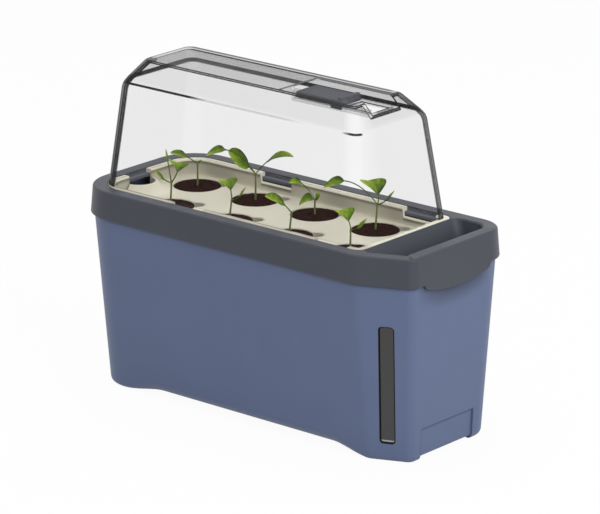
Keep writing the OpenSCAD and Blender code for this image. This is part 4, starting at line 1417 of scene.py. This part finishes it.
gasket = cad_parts["window_gasket"]
gasket.data.materials.clear()
gasket.data.materials.append(GASKET_BLACK)


# Floor, light and camera


def seen_share(f):
    """One for rays that show the background: from the camera, or by way of gloss or glass."""
    rays = f.node("ShaderNodeLightPath", out="Is Camera Ray")
    return rays.most(rays.also("Is Glossy Ray")).most(rays.also("Is Transmission Ray"))


def make_floor():
    """White floor that keeps a little of the object's shadow."""
    mesh = bpy.data.meshes.new("studio_floor")
    size = 30.0
    corners = [(-size, -size, 0), (size, -size, 0), (size, size, 0), (-size, size, 0)]
    mesh.from_pydata(corners, [], [(0, 1, 2, 3)])
    floor = add_object("studio_floor", mesh)
    f = new_finish("studio_floor_white")
    matt = f.node("ShaderNodeBsdfDiffuse", inputs={"Color": (0.92, 0.92, 0.92, 1)})
    white = f.node("ShaderNodeEmission", inputs={"Color": (1, 1, 1, 1), "Strength": 1.0})
    shader = f.node("ShaderNodeMixShader", inputs={0: seen_share(f) * 0.95, 1: matt, 2: white})
    f.node("ShaderNodeOutputMaterial", inputs={"Surface": shader})
    mesh.materials.append(f.owner)


def make_lamp(name, at, aim, size, power):
    data = bpy.data.lights.new(name, "AREA")
    data.shape = "RECTANGLE"
    data.size, data.size_y = size
    data.energy = power
    lamp = add_object(name, data)
    lamp.location = at
    lamp.rotation_euler = (Vector(aim) - Vector(at)).to_track_quat("-Z", "Y").to_euler()


def make_light():
    """Soft white surroundings, a key lamp from the right and a soft one from above."""
    world = bpy.data.worlds.new("studio")
    bpy.context.scene.world = world
    f = Finish(world)
    soft = f.node("ShaderNodeBackground", inputs={"Color": (1, 1, 1, 1), "Strength": 0.55})
    white = f.node("ShaderNodeBackground", inputs={"Color": (1, 1, 1, 1), "Strength": 1.0})
    shader = f.node("ShaderNodeMixShader", inputs={0: seen_share(f), 1: soft, 2: white})
    f.node("ShaderNodeOutputWorld", inputs={"Surface": shader})
    make_lamp("key_right", (1.7, -0.5, 1.2), (0, 0, 0.12), (1.2, 1.2), 17)
    make_lamp("top_soft", (-0.2, 0.2, 1.8), (0, 0, 0.15), (1.6, 1.6), 11)


def make_camera():
    """Long lens from the front right, a little above."""
    data = bpy.data.cameras.new("camera")
    data.sensor_width = 36.0
    data.lens = 242.2
    data.clip_start, data.clip_end = 0.1, 100.0
    camera = add_object("camera", data)
    aim = Vector((0.01304, 0.0, 0.14348))
    turn, rise, away = math.radians(40.41), math.radians(17.64), 3.616
    back = Vector((math.sin(turn) * math.cos(rise), -math.cos(turn) * math.cos(rise), math.sin(rise)))
    camera.location = aim + back * away
    camera.rotation_euler = (-back).to_track_quat("-Z", "Y").to_euler()
    bpy.context.scene.camera = camera


make_floor()
make_light()
make_camera()
bpy.context.scene.view_settings.view_transform = "Standard"
bpy.context.scene.cycles.transparent_max_bounces = 32
